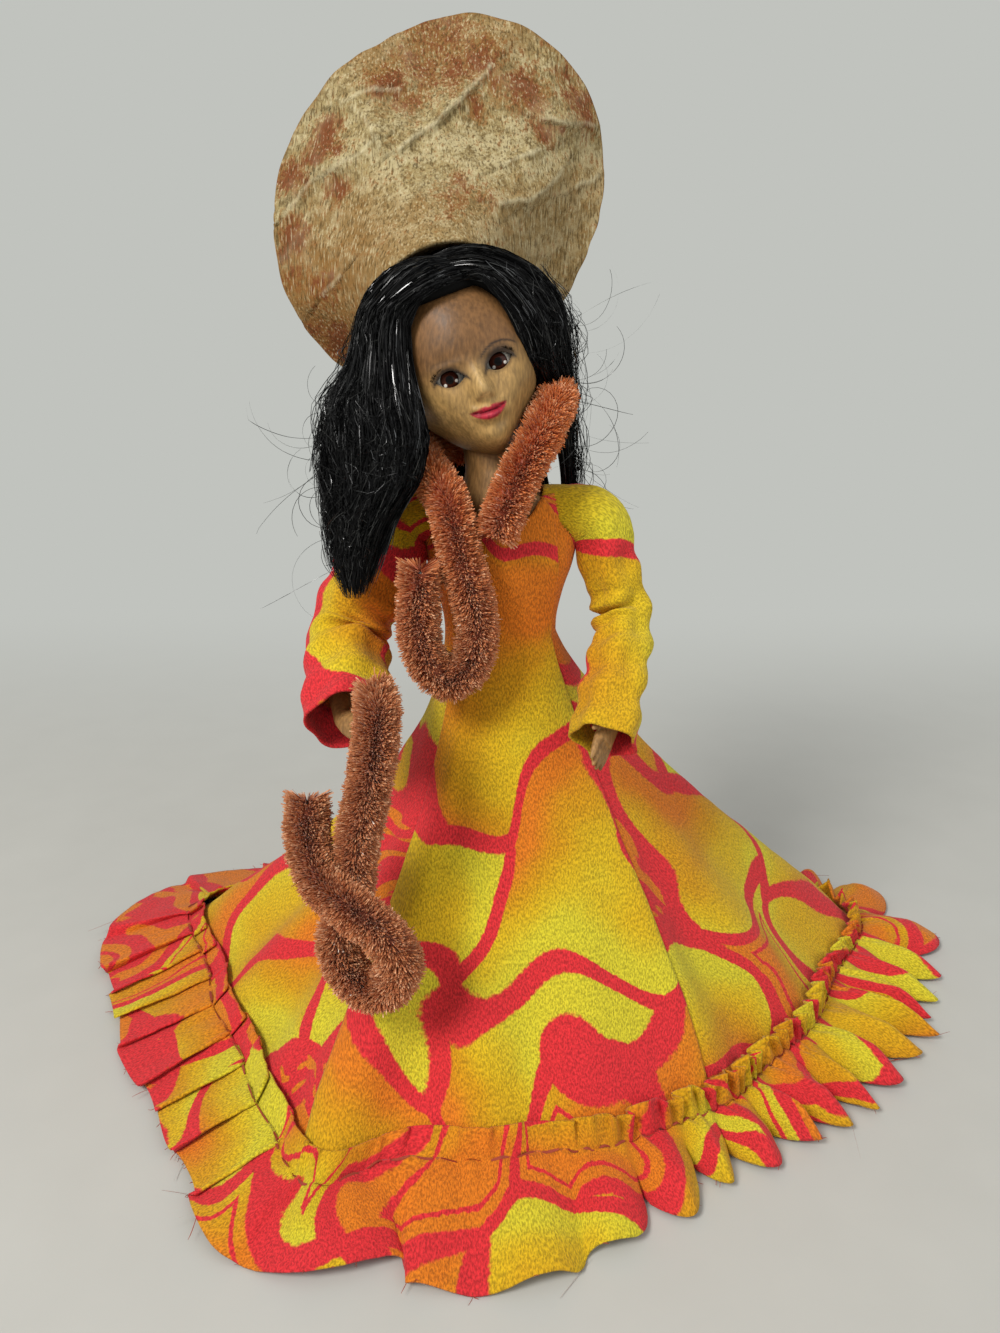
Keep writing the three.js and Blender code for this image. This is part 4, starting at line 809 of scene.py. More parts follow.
def face_paint(spots):
    """The painted face: warm forehead, pale cheeks, dark lids, thin brows and a crimson mouth, with painted shade on
    the sides, under the chin, in the nostrils and in the eye sockets, and painted highlights down the nose and on the
    lower lip.
    """
    x, y, z = spots.T
    front = ease(-y, 0, 8)
    bridge_highlight = hump(x, 0, 1.3) * ease(z, 13, 15) * ease(z, 22, 19)
    nostril_shade = np.exp(-((np.abs(x) - 1.2) ** 2 + (z - 14.1) ** 2) / 0.35)
    forehead, cheek, shade = np.array(ink("74512e")), "a98650", "593b22"
    colour = tinted(forehead, cheek, ease(z, 24.5, 16))
    # Painted shade on the sides of the face and under the chin, a painted highlight down the bridge of the nose, and
    # painted shade in the nostrils.
    for code, share in ((shade, 0.75 * ease(np.abs(x), 8, 15.5)), (shade, 0.8 * ease(z, 6, 1.5)),
                        ("c6a670", 0.55 * bridge_highlight), ("5d3a20", 0.5 * nostril_shade * front)):
        colour = tinted(colour, code, share)
    # Dark smudges over the upper lids are partly painted eye makeup and partly painted shade in the eye sockets,
    # heavier on the doll's left eye.
    for side, lid_and_shade_weight, brow_weight in ((1, 1.35, 1.0), (-1, 0.8, 0.25)):
        across = (side * x - EYE_X) / EYE_HALF_WIDTH
        past = np.abs(across)
        lid = EYE_Z + EYE_SLANT * across + UPPER_LID * (1 - across ** 2)
        under = EYE_Z + EYE_SLANT * across - LOWER_LID * (1 - across ** 2)
        arch = EYE_Z + 3.7 + 0.5 * across - 0.9 * across ** 2
        smudge_and_shade = hump(z - lid, 0.5, 0.75 + 0.35 * lid_and_shade_weight) * ease(past, 1.5, 0.9)
        line = hump(z - lid, 0.1, 0.38) * ease(past, 1.35, 1.05)
        lower = 0.45 * hump(z - under, -0.15, 0.35) * ease(past, 1.1, 0.9)
        brow = hump(z, arch, 0.24) * ease(np.abs(across - 0.2), 1.5, 1.2)
        mask = np.clip(0.62 * lid_and_shade_weight * smudge_and_shade + line + lower + brow_weight * brow, 0, 1)
        colour = tinted(colour, "1b100c", 0.92 * mask * front)
    across, rest = mouth_line(x)
    upper = rest + 1.25 * np.clip(1 - np.abs(across) ** 1.5, 0, 1) - 0.35 * hump(across, 0, 0.14)
    lower = rest - 1.6 * np.clip(1 - across ** 2, 0, 1) ** 0.85
    lips = ease(upper - z, -0.12, 0.2) * ease(z - lower, -0.12, 0.2) * ease(np.abs(across), 1.0, 0.93) * front
    # The mouth is darker along the line where the lips meet, and paler pink on the middle of the lower lip as a
    # painted highlight.
    red = tinted(np.array(ink("a81c30")), "6c0f1e", hump(z, rest, 0.22))
    red = tinted(red, "c8445a", 0.4 * hump(z - rest, -0.75, 0.35) * hump(across, 0, 0.45))
    colour = tinted(colour, red, lips)
    colour[:, 3] = 1
    return colour


def head_skin():
    piece, turn, polar = round_blank("head_skin", 176, 190)
    spots = head_spots(turn - 0.55 * np.sin(turn), polar, 0)
    x, y, z = spots.T
    ridge = 0.75 * hump(x, 0, 1.25) * ease(z, 14, 15.6) * ease(z, 23, 18.5)
    wing = 0.45 * np.exp(-((np.abs(x) - 1.5) ** 2 + (z - 14.7) ** 2) / 0.6)
    across, rest = mouth_line(x)
    above = z - rest
    pout = 0.55 * hump(above, 0.75, 0.7) + 0.75 * hump(above, -0.85, 0.75) - 0.4 * hump(above, 0, 0.25)
    pout = pout * ease(np.abs(across), 1.0, 0.7)
    lids = 0.4 * hump(np.abs(x), EYE_X, 3.4) * hump(z - EYE_Z, 2.4, 0.9)
    chin = -0.5 * hump(x, 0, 3.2) * hump(z, 8.6, 1.0)
    spots[:, 1] = y - ease(-y, 4, 9) * (ridge + wing + pout + lids + chin)
    shape_to(piece, on_head(spots))
    finish_with(piece, "SOLIDIFY", thickness=HEAD_SHELL, offset=-1)
    for side in (-1, 1):
        near, deep = on_head(almond(side, -22)), on_head(almond(side, -9))
        count = len(near)
        faces = [tuple(range(count)), tuple(range(2 * count - 1, count - 1, -1))]
        faces += [(n, n + count, (n + 1) % count + count, (n + 1) % count) for n in range(count)]
        cutter = mesh_piece("eye_cutter", np.concatenate([near, deep]), faces)
        rework(cutter.data, lambda block: bmesh.ops.recalc_face_normals(block, faces=block.faces))
        finish_with(piece, "BOOLEAN", operation="DIFFERENCE", object=cutter, solver="EXACT")
        bpy.data.objects.remove(cutter)
    pick(piece)
    bpy.ops.object.shade_smooth_by_angle(angle=math.radians(50))
    corners = np.array([corner.co for corner in piece.data.vertices])
    lay_paint(piece.data, face_paint(from_head(corners)))
    dress(piece, face_skin, "skin", "head", "face_shell", "head_back")


def eye(word, side):
    middle = on_head([(side * EYE_X, EYE_Y, EYE_Z)])[0]
    piece, turn, polar = round_blank("eye_" + word, 48, 32)
    aim = aimed(turn, polar)
    bulge = 0.18 * hump(np.linalg.norm(aim - np.array((0, -1, 0)), axis=1), 0, 0.42)
    shape_to(piece, middle + (aim * (EYE_RADIUS + bulge)[:, None]) @ HEAD_ROWS.T * MM)
    dress(piece, glass_eye("eye_" + word + "_glass", middle, -0.1), "eye", "eyes", "eyeball_" + word)


def lashes():
    """Short dark lashes along both upper lids."""
    rng = np.random.default_rng(8)
    share = np.linspace(-0.3, 1, 6)[:, None]
    routes = []
    for side in (-1, 1):
        for across in -0.95 + 1.95 * np.arange(46) / 45:
            start = np.array((side * (EYE_X + EYE_HALF_WIDTH * across), -14.3 + 0.9 * across ** 2,
                              EYE_Z + EYE_SLANT * across + 1.7 * (1 - across ** 2)))
            way = np.array((side * (0.25 + 0.75 * across), -1.1, 0.55)) * (0.8 + 0.3 * rng.random())
            routes.append(on_head(start + way * share + np.array((0, 0, 0.35)) * share ** 2))
    dress(hairs("lashes", routes, LASH, rng), wig_finish, "hair", "head")


head_skin()
eye("right", -1)
eye("left", 1)
lashes()


# Wig: a dark ground, and hairs combed from a side part over it into two locks and a fall at the nape

PART = math.radians(20)
WIG_TONE = 0.4
WIG_THICKNESS, LOCK_THICKNESS = 0.0006, 0.0004
HAIR_POINTS = 14
# Half widths of single hairs
COMBED_HAIR, NAPE_HAIR, LOOSE_HAIR, STRAY_HAIR = 0.0001, 0.00016, 0.00007, 0.00006
# Stations down each lock: level, its inner edge, its outer edge and its thickness
RIGHT_LOCK = np.array(((178, -11, -14.6, -27, -2, 3), (174, -16.8, -14.4, -28.6, -2, 3.5),
                       (170, -18.2, -13.8, -29.3, -2, 4), (162, -17.4, -15, -30.5, -4, 5),
                       (156, -15.8, -16.5, -35, -6.5, 6.5), (148, -14, -17.8, -36, -9, 7),
                       (140, -16, -19, -35.6, -11.5, 6), (133, -21.5, -19.5, -35, -14, 4.8),
                       (125, -25.5, -19, -34, -15.5, 3.4), (116, -28.5, -18, -32.4, -17, 1.6)))
LEFT_LOCK = np.array(((181, -6.5, -12.8, 9, 0, 3), (176.5, -1.5, -12.4, 12, 0.5, 3.2),
                      (171, 2.6, -11.6, 13.7, 1.5, 3.5), (164, 4.8, -9.5, 14.3, 3.5, 3.5), (156, 9, -1, 15.2, 7, 3),
                      (147, 12.5, 6, 15.8, 9, 2.2), (139, 13.8, 8, 17, 10.5, 1.6), (131, 14.4, 9, 18, 11, 1)))


def hairline(turn):
    turn = np.abs(turn)
    return np.radians(47 + 50 * ease(turn, 0.5, 1.15) + 21 * ease(turn, 1.3, 2.6))


def lock_spots(lock, level, lane, depth):
    """Points in a lock of hair: lane 0 is its inner edge and 1 its outer one, and depth 1 is its front."""
    level, lane, depth = together(level, lane, depth)
    inner_x, inner_y, outer_x, outer_y, thick = [np.interp(level, lock[::-1, 0], lock[::-1, n]) for n in range(1, 6)]
    along_x, along_y = outer_x - inner_x, outer_y - inner_y
    wide = np.hypot(along_x, along_y)
    hand = np.sign(along_x)
    bulge = thick * depth * np.sqrt(np.clip(1 - (2 * lane - 1) ** 2, 0, 1))
    x = inner_x + along_x * lane + hand * along_y / wide * bulge
    y = inner_y + along_y * lane - hand * along_x / wide * bulge
    return np.stack([x, y, level], axis=-1)


# What hair follows, from its roots down: name, lowest level, two bodies and the levels at which each is followed
CHEEK, JAW, SHOULDER, ELBOW = 160, 146, 132, 104
LOOSE_FALL = (("", JAW, "neck", "head", JAW, CHEEK), ("_ends", 0, "torso", "neck", SHOULDER, JAW))
RIGHT_FALL = (LOOSE_FALL[0], ("_middle", SHOULDER, "torso", "neck", SHOULDER, JAW),
              ("_ends", 0, "torso", "right_arm", SHOULDER, ELBOW))


def hanging_hairs(name, routes, thick, rng, falls, *nodes):
    """Hairs cut at the lowest level of each fall, in a piece for each fall, with roots on the head and ends on the
    shoulders.
    """
    routes = np.array(routes)
    for cut_level in [fall[1] * MM for fall in falls[:-1]]:
        for route in routes:
            last = np.nonzero(route[:, 2] > cut_level)[0][-1:]
            if len(last) and last[0] + 1 < len(route):
                n = last[0]
                share = (route[n, 2] - cut_level) / (route[n, 2] - route[n + 1, 2])
                spot = route[n] + (route[n + 1] - route[n]) * share
                route[n if share < 0.5 and n else n + 1] = spot
    corners, faces, paint = ribbons(routes, thick, rng)
    level = corners[faces, 2].mean(axis=1) / MM
    high = math.inf
    for suffix, low, *follows in falls:
        used, shown = np.unique(faces[(level <= high) & (level > low)], return_inverse=True)
        piece = mesh_piece(name + suffix, corners[used], shown.reshape(-1, 4).tolist(), None, paint[used])
        dress(piece, hair_finish, "hair", follows, *nodes)
        high, nodes = low, ()


def head_turns(spots):
    """Direction from the middle of the head of each point in its frame, and its height over the skin."""
    x, y, z = spots.T
    deep = np.where(y > 0, HEAD_BACK, HEAD_FRONT)
    aim = unit(np.stack([x / HEAD_HALF_WIDTH, y / deep, (z - HEAD_MIDDLE) / HEAD_HALF_HEIGHT], axis=1))
    return aim, ((spots - head_spots(*turned(aim), 0)) * aim).sum(axis=1)


def wig_ground():
    columns, rows = 96, 28
    turn = np.linspace(-np.pi, np.pi, columns + 1)
    share = np.linspace(0, 1, rows)[:, None]
    polar = hairline(turn)[None] * (1 - share) + 0.01 * share
    spots = on_head(head_spots(turn, polar, 0.3 + 2.0 * ease(share, 0, 0.09)))
    paint = np.full(spots.shape[:2] + (4,), WIG_TONE)
    piece = sheet_piece("wig_ground", spots, WIG_THICKNESS, joined=True, paint=paint)
    dress(piece, wig_finish, "hair", "head", "hair_crown")


def lock_ground(name, lock, node, top, foot, falls):
    """The dark body of a lock under its hairs, in a piece for each fall."""
    turn = np.linspace(0, 2 * np.pi, 33)
    nodes = [node]
    high = top
    for suffix, low, *follows in falls:
        low = max(low, foot)
        if low >= high:
            break
        level = np.linspace(high, low, 2 + int((high - low) / 1.2))[:, None]
        full = 0.8 * np.sin(np.clip((level - foot) * 0.12 + 0.06, 0, np.pi / 2))
        full = full * np.sin(np.clip((top - level) * 0.25 + 0.1, 0, np.pi / 2))
        comb = 1 + 0.05 * np.sin(13 * turn + level * 0.2) + 0.04 * np.sin(29 * turn)
        lane, depth = 0.5 - 0.5 * full * comb * np.cos(turn), full * comb * np.sin(turn)
        depth = depth / np.sqrt(np.clip(1 - (2 * lane - 1) ** 2, 0.05, 1))
        spots = placed(lock_spots(lock, level, lane, depth))
        paint = np.full(spots.shape[:2] + (4,), WIG_TONE)
        piece = sheet_piece(name + suffix, spots, LOCK_THICKNESS, joined=True, paint=paint)
        dress(piece, wig_finish, "hair", follows, *nodes)
        high, nodes = low, []


def combed(lock, side, count, rng, shortest):
    """Hairs from the part over the head into a lock, each in its own lane of it."""
    lane = np.clip(rng.beta(0.9, 0.9, count) + rng.normal(0, 0.02, count), 0.005, 0.995)
    depth = 1 - 1.5 * rng.random(count) ** 1.6
    top, foot = lock[0, 0], lock[-1, 0]
    end = foot + (shortest - foot) * rng.random(count) ** 0.8
    aim, height = head_turns(from_head(placed(lock_spots(lock, top - 1, lane, depth))))
    aim_turn, aim_polar = turned(aim)
    first = PART + rng.normal(0, 0.05, count) - side * 0.02
    polar = np.radians(np.clip(45.5 - 43 * lane ** 1.2 + rng.normal(0, 2, count), 1, 46))
    root = aimed(first, polar)
    low = 2.0 + 0.7 * rng.random(count)
    lift = rng.random(count)
    wave, curl, slip = rng.uniform(0, 6.28, count), rng.uniform(0.2, 1.0, count), rng.normal(0, 0.07, count)
    routes = []
    share = np.linspace(0, 0.93, 7)
    fall = np.linspace(0, 1, 9)
    for n in range(count):
        way = unit(root[n] + (aim[n] - root[n]) * share[:, None])
        round_way = aimed(first[n] + (aim_turn[n] - first[n]) * share, polar[n] + (aim_polar[n] - polar[n]) * share)
        way = unit(way + (round_way - way) * ease(lane[n], 0.5, 0.2))
        grow = low[n] + (height[n] - low[n]) * share ** 1.5 + 0.9 * lift[n] * np.sin(share * np.pi)
        cap = head_spots(*turned(way), grow)
        level = np.linspace(top - 5, end[n], 9)
        lanes = lane[n] + slip[n] * fall ** 2 * 1.6 + 0.022 * curl[n] * np.sin(wave[n] + 7 * fall)
        lanes = np.clip(lanes, -0.5 * ease(level, 136, 118), 1.04 + 0.5 * fall ** 3)
        fallen = lock_spots(lock, level, lanes, depth[n] + 0.12 * curl[n] * np.sin(2 * wave[n] + 8 * fall))
        routes.append(even_line(np.concatenate([on_head(cap), placed(fallen)]), HAIR_POINTS))
    return routes


def nape_fall(count, rng):
    """Hairs from the crown down over the back of the head and the nape."""
    routes = []
    share = np.linspace(0, 1, 6)
    edge_y, edge_z = head_spots(np.pi, hairline(np.pi), 2.4)[1:]
    for _ in range(count):
        turn = math.pi + rng.uniform(-1.35, 1.35)
        depth = rng.random()
        cap = on_head(head_spots(turn, 0.15 + (hairline(turn) - 0.15) * share, 2.0 + 1.7 * depth))
        aside = np.clip((turn - math.pi) * -0.9, -1, 1)
        fall = np.linspace(0.15, 0.75 + 0.35 * rng.random(), 5)
        behind = (edge_y + 2.2 * np.sin(fall * np.pi * 0.8)) * (0.55 + 0.45 * math.cos(aside)) + (depth - 0.5) * 2
        drop = np.stack([15 * math.sin(aside) * (1 - 0.25 * fall), behind, edge_z - 1.5 - 21 * fall], axis=1)
        routes.append(even_line(np.concatenate([cap, on_head(drop)]), HAIR_POINTS))
    return routes


def frizz(name, lock, side, count, low, high, bow_out, falls, rng):
    """Short loose hairs about a lock, which bow out past its outer edge."""
    routes = []
    reach = np.linspace(-1, 1, 9)
    for _ in range(count):
        level, lane = rng.uniform(low, high), 1.04 * rng.random() ** 0.7
        across, sink, bow = rng.normal(0, 0.12), rng.normal(-5, 4), rng.normal(0, 0.08)
        levels = np.clip(level + sink * reach + 2 * bow * np.cos(4 * reach), low - 6, high + 6)
        lanes = np.clip(lane + across * reach + bow * np.sin(3 * reach), 0.01, 0.99)
        loose = lock_spots(lock, levels, lanes, 1.03 + 0.08 * reach ** 2)
        loose[:, 0] += side * np.clip(lane - 0.72, 0, 1) * rng.uniform(0, bow_out) * (1 - reach ** 2)
        routes.append(placed(loose))
    hanging_hairs(name, routes, LOOSE_HAIR, rng, falls)


def wig():
    rng = np.random.default_rng(21)
    wig_ground()
    lock_ground("lock_right_ground", RIGHT_LOCK, "hair_lock_right", 177, 127, RIGHT_FALL)
    lock_ground("lock_left_ground", LEFT_LOCK, "hair_lock_left", 180, 150, LOOSE_FALL)
    hanging_hairs("hair_right", combed(RIGHT_LOCK, -1, 7000, rng, 146), COMBED_HAIR, rng, RIGHT_FALL)
    hanging_hairs("hair_left", combed(LEFT_LOCK, 1, 4200, rng, 163), COMBED_HAIR, rng, LOOSE_FALL)
    hanging_hairs("hair_back_fall", nape_fall(2200, rng), NAPE_HAIR, rng, LOOSE_FALL, "hair_back")
    frizz("hair_frizz", RIGHT_LOCK, -1, 1100, 122, 166, 11, RIGHT_FALL, rng)
    frizz("hair_frizz_left", LEFT_LOCK, 1, 520, 137, 176, 17, LOOSE_FALL, rng)


def stray_hairs():
    """Loose hairs that spring out of the locks in loops and long arcs."""
    rng = np.random.default_rng(33)
    points = 18
    routes = []
    for lock, side, count, low, high in ((RIGHT_LOCK, -1, 22, 122, 158), (LEFT_LOCK, 1, 30, 138, 172)):
        for _ in range(count):
            spot = lock_spots(lock, rng.uniform(low, high), 0.97, rng.uniform(-0.5, 0.5))
            heading = rng.normal(-0.3, 0.7)
            bend = rng.choice((-1, 1)) * rng.uniform(0.03, 0.3)
            step = rng.uniform(0.7, 1.5)
            line = []
            for _ in range(points):
                line.append(spot)
                spot = spot + step * np.array((side * math.cos(heading), rng.normal(0, 0.1), math.sin(heading)))
                heading += bend - 0.06
                bend *= rng.uniform(0.9, 1.12)
            line = np.array(line)
            line[:, 0] = np.clip(line[:, 0], -52, 40)
            routes.append(placed(even_line(line, points)))
    hanging_hairs("stray_hairs", routes, STRAY_HAIR, rng, LOOSE_FALL)


wig()
stray_hairs()


# Hat of bark cloth: a crown on the back of the head, and a round brim that stands up behind it

BARK_THICKNESS = 0.0009
CROWN_SPAN = math.radians(46)
BRIM_START = CROWN_SPAN + 1.25 / 20
BRIM_MIDDLE = (9, 23, 54)
HAT_TILT = math.radians(50)
HAT_AXIS = np.array((0, math.cos(HAT_TILT), math.sin(HAT_TILT)))
HAT_UP = np.array((0, -math.sin(HAT_TILT), math.cos(HAT_TILT)))
HAT_SIDE = np.array((1, 0, 0))


def crown_spots(away, turn):
    away, turn = together(away, turn)
    aim = (HAT_AXIS * np.cos(away)[..., None] + HAT_SIDE * (np.sin(away) * np.sin(turn))[..., None]
           + HAT_UP * (np.sin(away) * np.cos(turn))[..., None])
    return head_spots(*turned(aim), 4.6)


# Reach of the brim's edge from its middle, by turn in degrees
HAT_EDGE = np.array(((-180, 36.5), (-150, 40), (-125, 41.5), (-108, 40.6), (-93, 39.6), (-76, 37.6), (-55, 36.3),
                     (-31, 34.5), (-4, 34.5), (10, 36.5), (27, 39.6), (49, 40.6), (72, 40.8), (90, 38.5),
                     (110, 35.7), (129, 33.2), (150, 33.5), (180, 36.5)))
# Stains of the brim: place, size and strength, first the rust ones and then the ochre ones
HAT_STAINS = ((20, 86, 10.1, 0.55), (14, 84, 6.4, 0.5), (27, 79, 5.8, 0.75), (21, 78, 6.4, 0.6), (15, 80, 4.8, 0.6),
              (6, 80, 4, 0.9), (9, 75, 3.7, 0.7), (21, 88, 4.8, 0.5), (34, 69, 5.3, 0.85), (28, 72, 3.2, 0.7),
              (22, 69, 2.9, 0.8), (45, 64, 4.2, 0.8), (43, 70, 3.7, 0.5), (45, 61, 3.2, 0.8), (34, 60, 2.4, 0.75),
              (38, 60, 2.1, 0.5), (-11, 74, 3.4, 0.95), (-9, 76, 2.7, 0.9), (-9, 71, 1.6, 0.8), (-14, 72, 2.1, 0.8),
              (-20, 71, 4, 0.85), (-18, 68, 2.7, 0.6), (-12, 64, 2.7, 0.9), (-24, 59, 3.7, 0.85),
              (-28, 56, 2.7, 0.7), (-22, 47, 4.2, 0.65), (-28, 50, 3.7, 0.5), (-24, 36, 4.8, 0.9),
              (-27, 40, 3.2, 0.7), (-22, 32, 2.7, 0.8), (12, 57, 2.4, 0.6), (10, 53, 4.8, 0.45), (15, 51, 3.2, 0.4),
              (41, 77, 2.7, 0.4), (33, 64, 3.2, 0.4))
HAT_OCHRE = ((6, 86, 6.9, 0.8), (33, 82, 5.8, 0.7), (-23, 51, 6.9, 0.9), (-10, 56, 8, 0.6), (-16, 61, 4.8, 0.6),
             (0, 54, 4.8, 0.4), (-15, 51, 4.8, 0.5), (-20, 40, 8, 0.7))
# Creases of the brim, each along its points
HAT_CREASES = (((-24.6, 64.3), (-19.4, 67.2), (-10.2, 68.7), (-1.8, 69.4)),
               ((-2.3, 78.2), (-1.1, 71.2), (-0.7, 68)), ((2.7, 66.4), (10.3, 68.4), (18.3, 71.3)),
               ((18.3, 71.3), (28.3, 76.5)), ((22.4, 56), (31.6, 57.1)), ((35, 63.2), (39.9, 60.8), (46.8, 58.7)),
               ((18.3, 49.4), (24.7, 47.7), (30, 49.2), (35.8, 52.5)), ((-4.2, 80.3), (3, 79.9), (8, 78.3)),
               ((37.9, 48), (44.7, 48.9)), ((-22.8, 45.4), (-17.8, 47.5)))


def brim_spots(turn, share):
    """Points of the brim, flat between the crown's rim and its own edge but for a slight bow."""
    x, y, z = BRIM_MIDDLE
    rim = crown_spots(BRIM_START, turn)[None]
    reach = evened(np.interp(np.degrees(turn), HAT_EDGE[:, 0], HAT_EDGE[:, 1]), 19)
    reach = reach + 0.12 * np.sin(23 * turn + 2 * np.sin(3 * turn))
    edge = np.stack([x + np.sin(turn) * reach, y + 1.6 * np.sin(5 * turn), z + np.cos(turn) * reach], axis=-1)[None]
    spots = rim + (edge - rim) * share[..., None]
    spots[..., 1] += 3 * np.sin(share * np.pi) * np.clip(np.cos(turn), 0, None)
    return spots


def hat():
    turn = np.linspace(-np.pi, np.pi, 361)
    share = np.linspace(0, 1, 110)[:, None]
    spots = brim_spots(turn, share)
    open_part = np.sin(np.clip(share * 3, 0, np.pi / 2))
    x, z = spots[..., 0].copy(), spots[..., 2].copy()
    flat = np.stack([x, 0 * x, z], axis=-1)
    broad, fold, fine = ripple(flat, 15), ripple(flat, 7, 3.3), ripple(flat, 2.2, 8.1)
    ridge = (1 - np.abs(fold)) ** 9 * ease(ripple(flat, 11, 5.7), -0.1, 0.35)
    spots[..., 1] += open_part * (1.5 * np.abs(broad) + 0.35 * fold + 0.12 * fine - 0.3 * ridge)
    # Pale lines on the crumple ridges, and along the creases below, are partly wear of the fibres and partly a
    # painted highlight on the ridges.
    crease_wear_and_highlight = 0.15 * ridge * open_part
    wander = 0.8 * ripple(flat, 4, 1.7)
    # Each crease is steep on one side and runs out softly on the other.
    for points in HAT_CREASES:
        for (x0, z0), (x1, z1) in zip(points, points[1:]):
            long = np.linalg.norm((x1 - x0, z1 - z0))
            way_x, way_z = (x1 - x0) / long, (z1 - z0) / long
            along = (x - x0) * way_x + (z - z0) * way_z
            aside = (z - z0) * way_x - (x - x0) * way_z + wander
            off = np.hypot(aside, np.abs(along - np.clip(along, 0, long)))
            crease_wear_and_highlight = np.maximum(crease_wear_and_highlight, 0.62 * hump(off, 0, 0.27))
            spots[..., 1] -= 1.35 * np.exp(-off / np.where(aside > 0, 5.5, 1.7)) * ease(off, 12, 4)
    x, z = x + 1.8 * ripple(flat, 5, 2.9), z + 1.8 * ripple(flat, 5, 6.1)

    def blots(marks):
        return np.max([strength * np.exp(-((x - x0) ** 2 + (z - z0) ** 2) / size ** 2)
                       for x0, z0, size, strength in marks], axis=0)

    # Darker towards the doll's right and at the brim's outer edge; low on the brim, near the hair, the darkening is
    # painted shade.
    tone_and_low_shade = 0.4 * ease(x, 2, -24) * ease(z, 66, 50) + 0.45 * ease(z, 58, 46) + 0.7 * ease(share, 0.975, 1.0)
    ochre_and_shade = np.clip(blots(HAT_OCHRE) + tone_and_low_shade, 0, 1)
    paint = layers(spots.shape[:2], blots(HAT_STAINS), np.clip(crease_wear_and_highlight, 0, 1), ochre_and_shade)
    brim = sheet_piece("hat_brim_cloth", on_head(spots), BARK_THICKNESS, joined=True, paint=paint)
    away = np.linspace(0.01, CROWN_SPAN, 26)[:, None]
    spots = crown_spots(away, turn)
    spots = spots + (0.12 * np.sin(22 * turn) * np.sin(away))[..., None] * HAT_AXIS
    # The crown is painted darker towards its rim, as painted shade where it meets the brim.
    ochre_and_shade = 0.3 + 0.5 * ease(away, CROWN_SPAN - 0.04, CROWN_SPAN)
    paint = layers(spots.shape[:2], 0.3 + 0.5 * ripple(spots, 9), 0, ochre_and_shade)
    crown = sheet_piece("hat_crown_cloth", on_head(spots), BARK_THICKNESS * 0.8, joined=True, paint=paint)
    dress(brim, bark_finish, "bark", "head", "hat_brim")
    dress(crown, bark_finish, "bark", "head", "hat_crown")


hat()


# Gown: a front gore, two side gores and two back gores, from the neckline to the ruffle's stitch line

SHOULDER_LEVEL = 131
WAIST_LEVEL = 104
STITCH_LEVEL = 5
GOWN_GROW = 1.3
ARMHOLE_RADIUS = 6.4
CLOTH = 0.0005
STITCH_POINTS = ((2, -56), (24, -52), (48, -41), (71, -20), (87, 3), (103, 34), (74, 51), (0, 52), (-62, 51),
                 (-89, 40), (-76, 4), (-60, -28), (-48, -48), (-37, -63), (-23, -57))
STITCH_LINE = even_line([(x, y, 0) for x, y in STITCH_POINTS], 1441, closed=True)
STITCH_TURN = np.unwrap(np.arctan2(STITCH_LINE[:, 0], -STITCH_LINE[:, 1]))
# Soft folds of the skirt: turn at the hem in degrees, half width in degrees, depth, share of the drop where it starts
SKIRT_FOLDS = ((-37, 6, 2.4, 0.45), (-20, 7, -1.6, 0.5), (-6, 8, 1.8, 0.45), (9, 7, -1.9, 0.55), (24, 7, 1.4, 0.5),
               (52, 6, 2.4, 0.2), (66, 7, -2.2, 0.25), (80, 6, 2.4, 0.35), (96, 6, -1.8, 0.4), (112, 7, 2.4, 0.3),
               (140, 9, -2, 0.3), (160, 8, 2.2, 0.35), (182, 9, -2, 0.3), (204, 8, 2.4, 0.3), (228, 8, -2, 0.3),
               (246, 7, 2.2, 0.35), (262, 6, -1.8, 0.4), (276, 6, 2.2, 0.35), (292, 7, -2, 0.35), (307, 6, 2, 0.4))


def turn_from(turn, middle):
    """Turn on from a middle that is given in degrees, between half a turn back and half a turn on."""
    return np.angle(np.exp(1j * (np.asarray(turn, float) - math.radians(middle))))


def stitch_spot(turn):
    turn = np.mod(turn, 2 * np.pi)
    turn = np.where(turn < STITCH_TURN[0], turn + 2 * np.pi, turn)
    return [np.interp(turn, STITCH_TURN, STITCH_LINE[:, axis]) for axis in (0, 1)]


def skirt_spots(turn, down, lift=0.0):
    """Points of the skirt by turn from the front and share of the drop, raised off it by lift."""
    turn, down, lift = together(turn, down, lift)
    hem_x, hem_y = stitch_spot(turn)
    waist = torso_spots(WAIST_LEVEL, turn, GOWN_GROW)
    out = down ** (1.45 - 0.27 * np.sin(turn))
    x = waist[..., 0] + (hem_x - waist[..., 0]) * out
    y = waist[..., 1] + (hem_y - waist[..., 1]) * out
    z = WAIST_LEVEL + (STITCH_LEVEL - WAIST_LEVEL) * down
    fold = lift
    for middle, wide, depth, start in SKIRT_FOLDS:
        shape = hump(turn_from(turn, middle), 0, math.radians(wide * 1.15))
        fold = fold + depth * shape * ease(down, start, 0.85) * (1 - 0.55 * ease(down, 0.85, 1))
    # Folds stand out square to a cloth that slopes by 0.6.
    fold = fold / math.sqrt(1.36)
    return np.stack([x + np.sin(turn) * fold, y - np.cos(turn) * fold, z + 0.6 * fold], axis=-1)


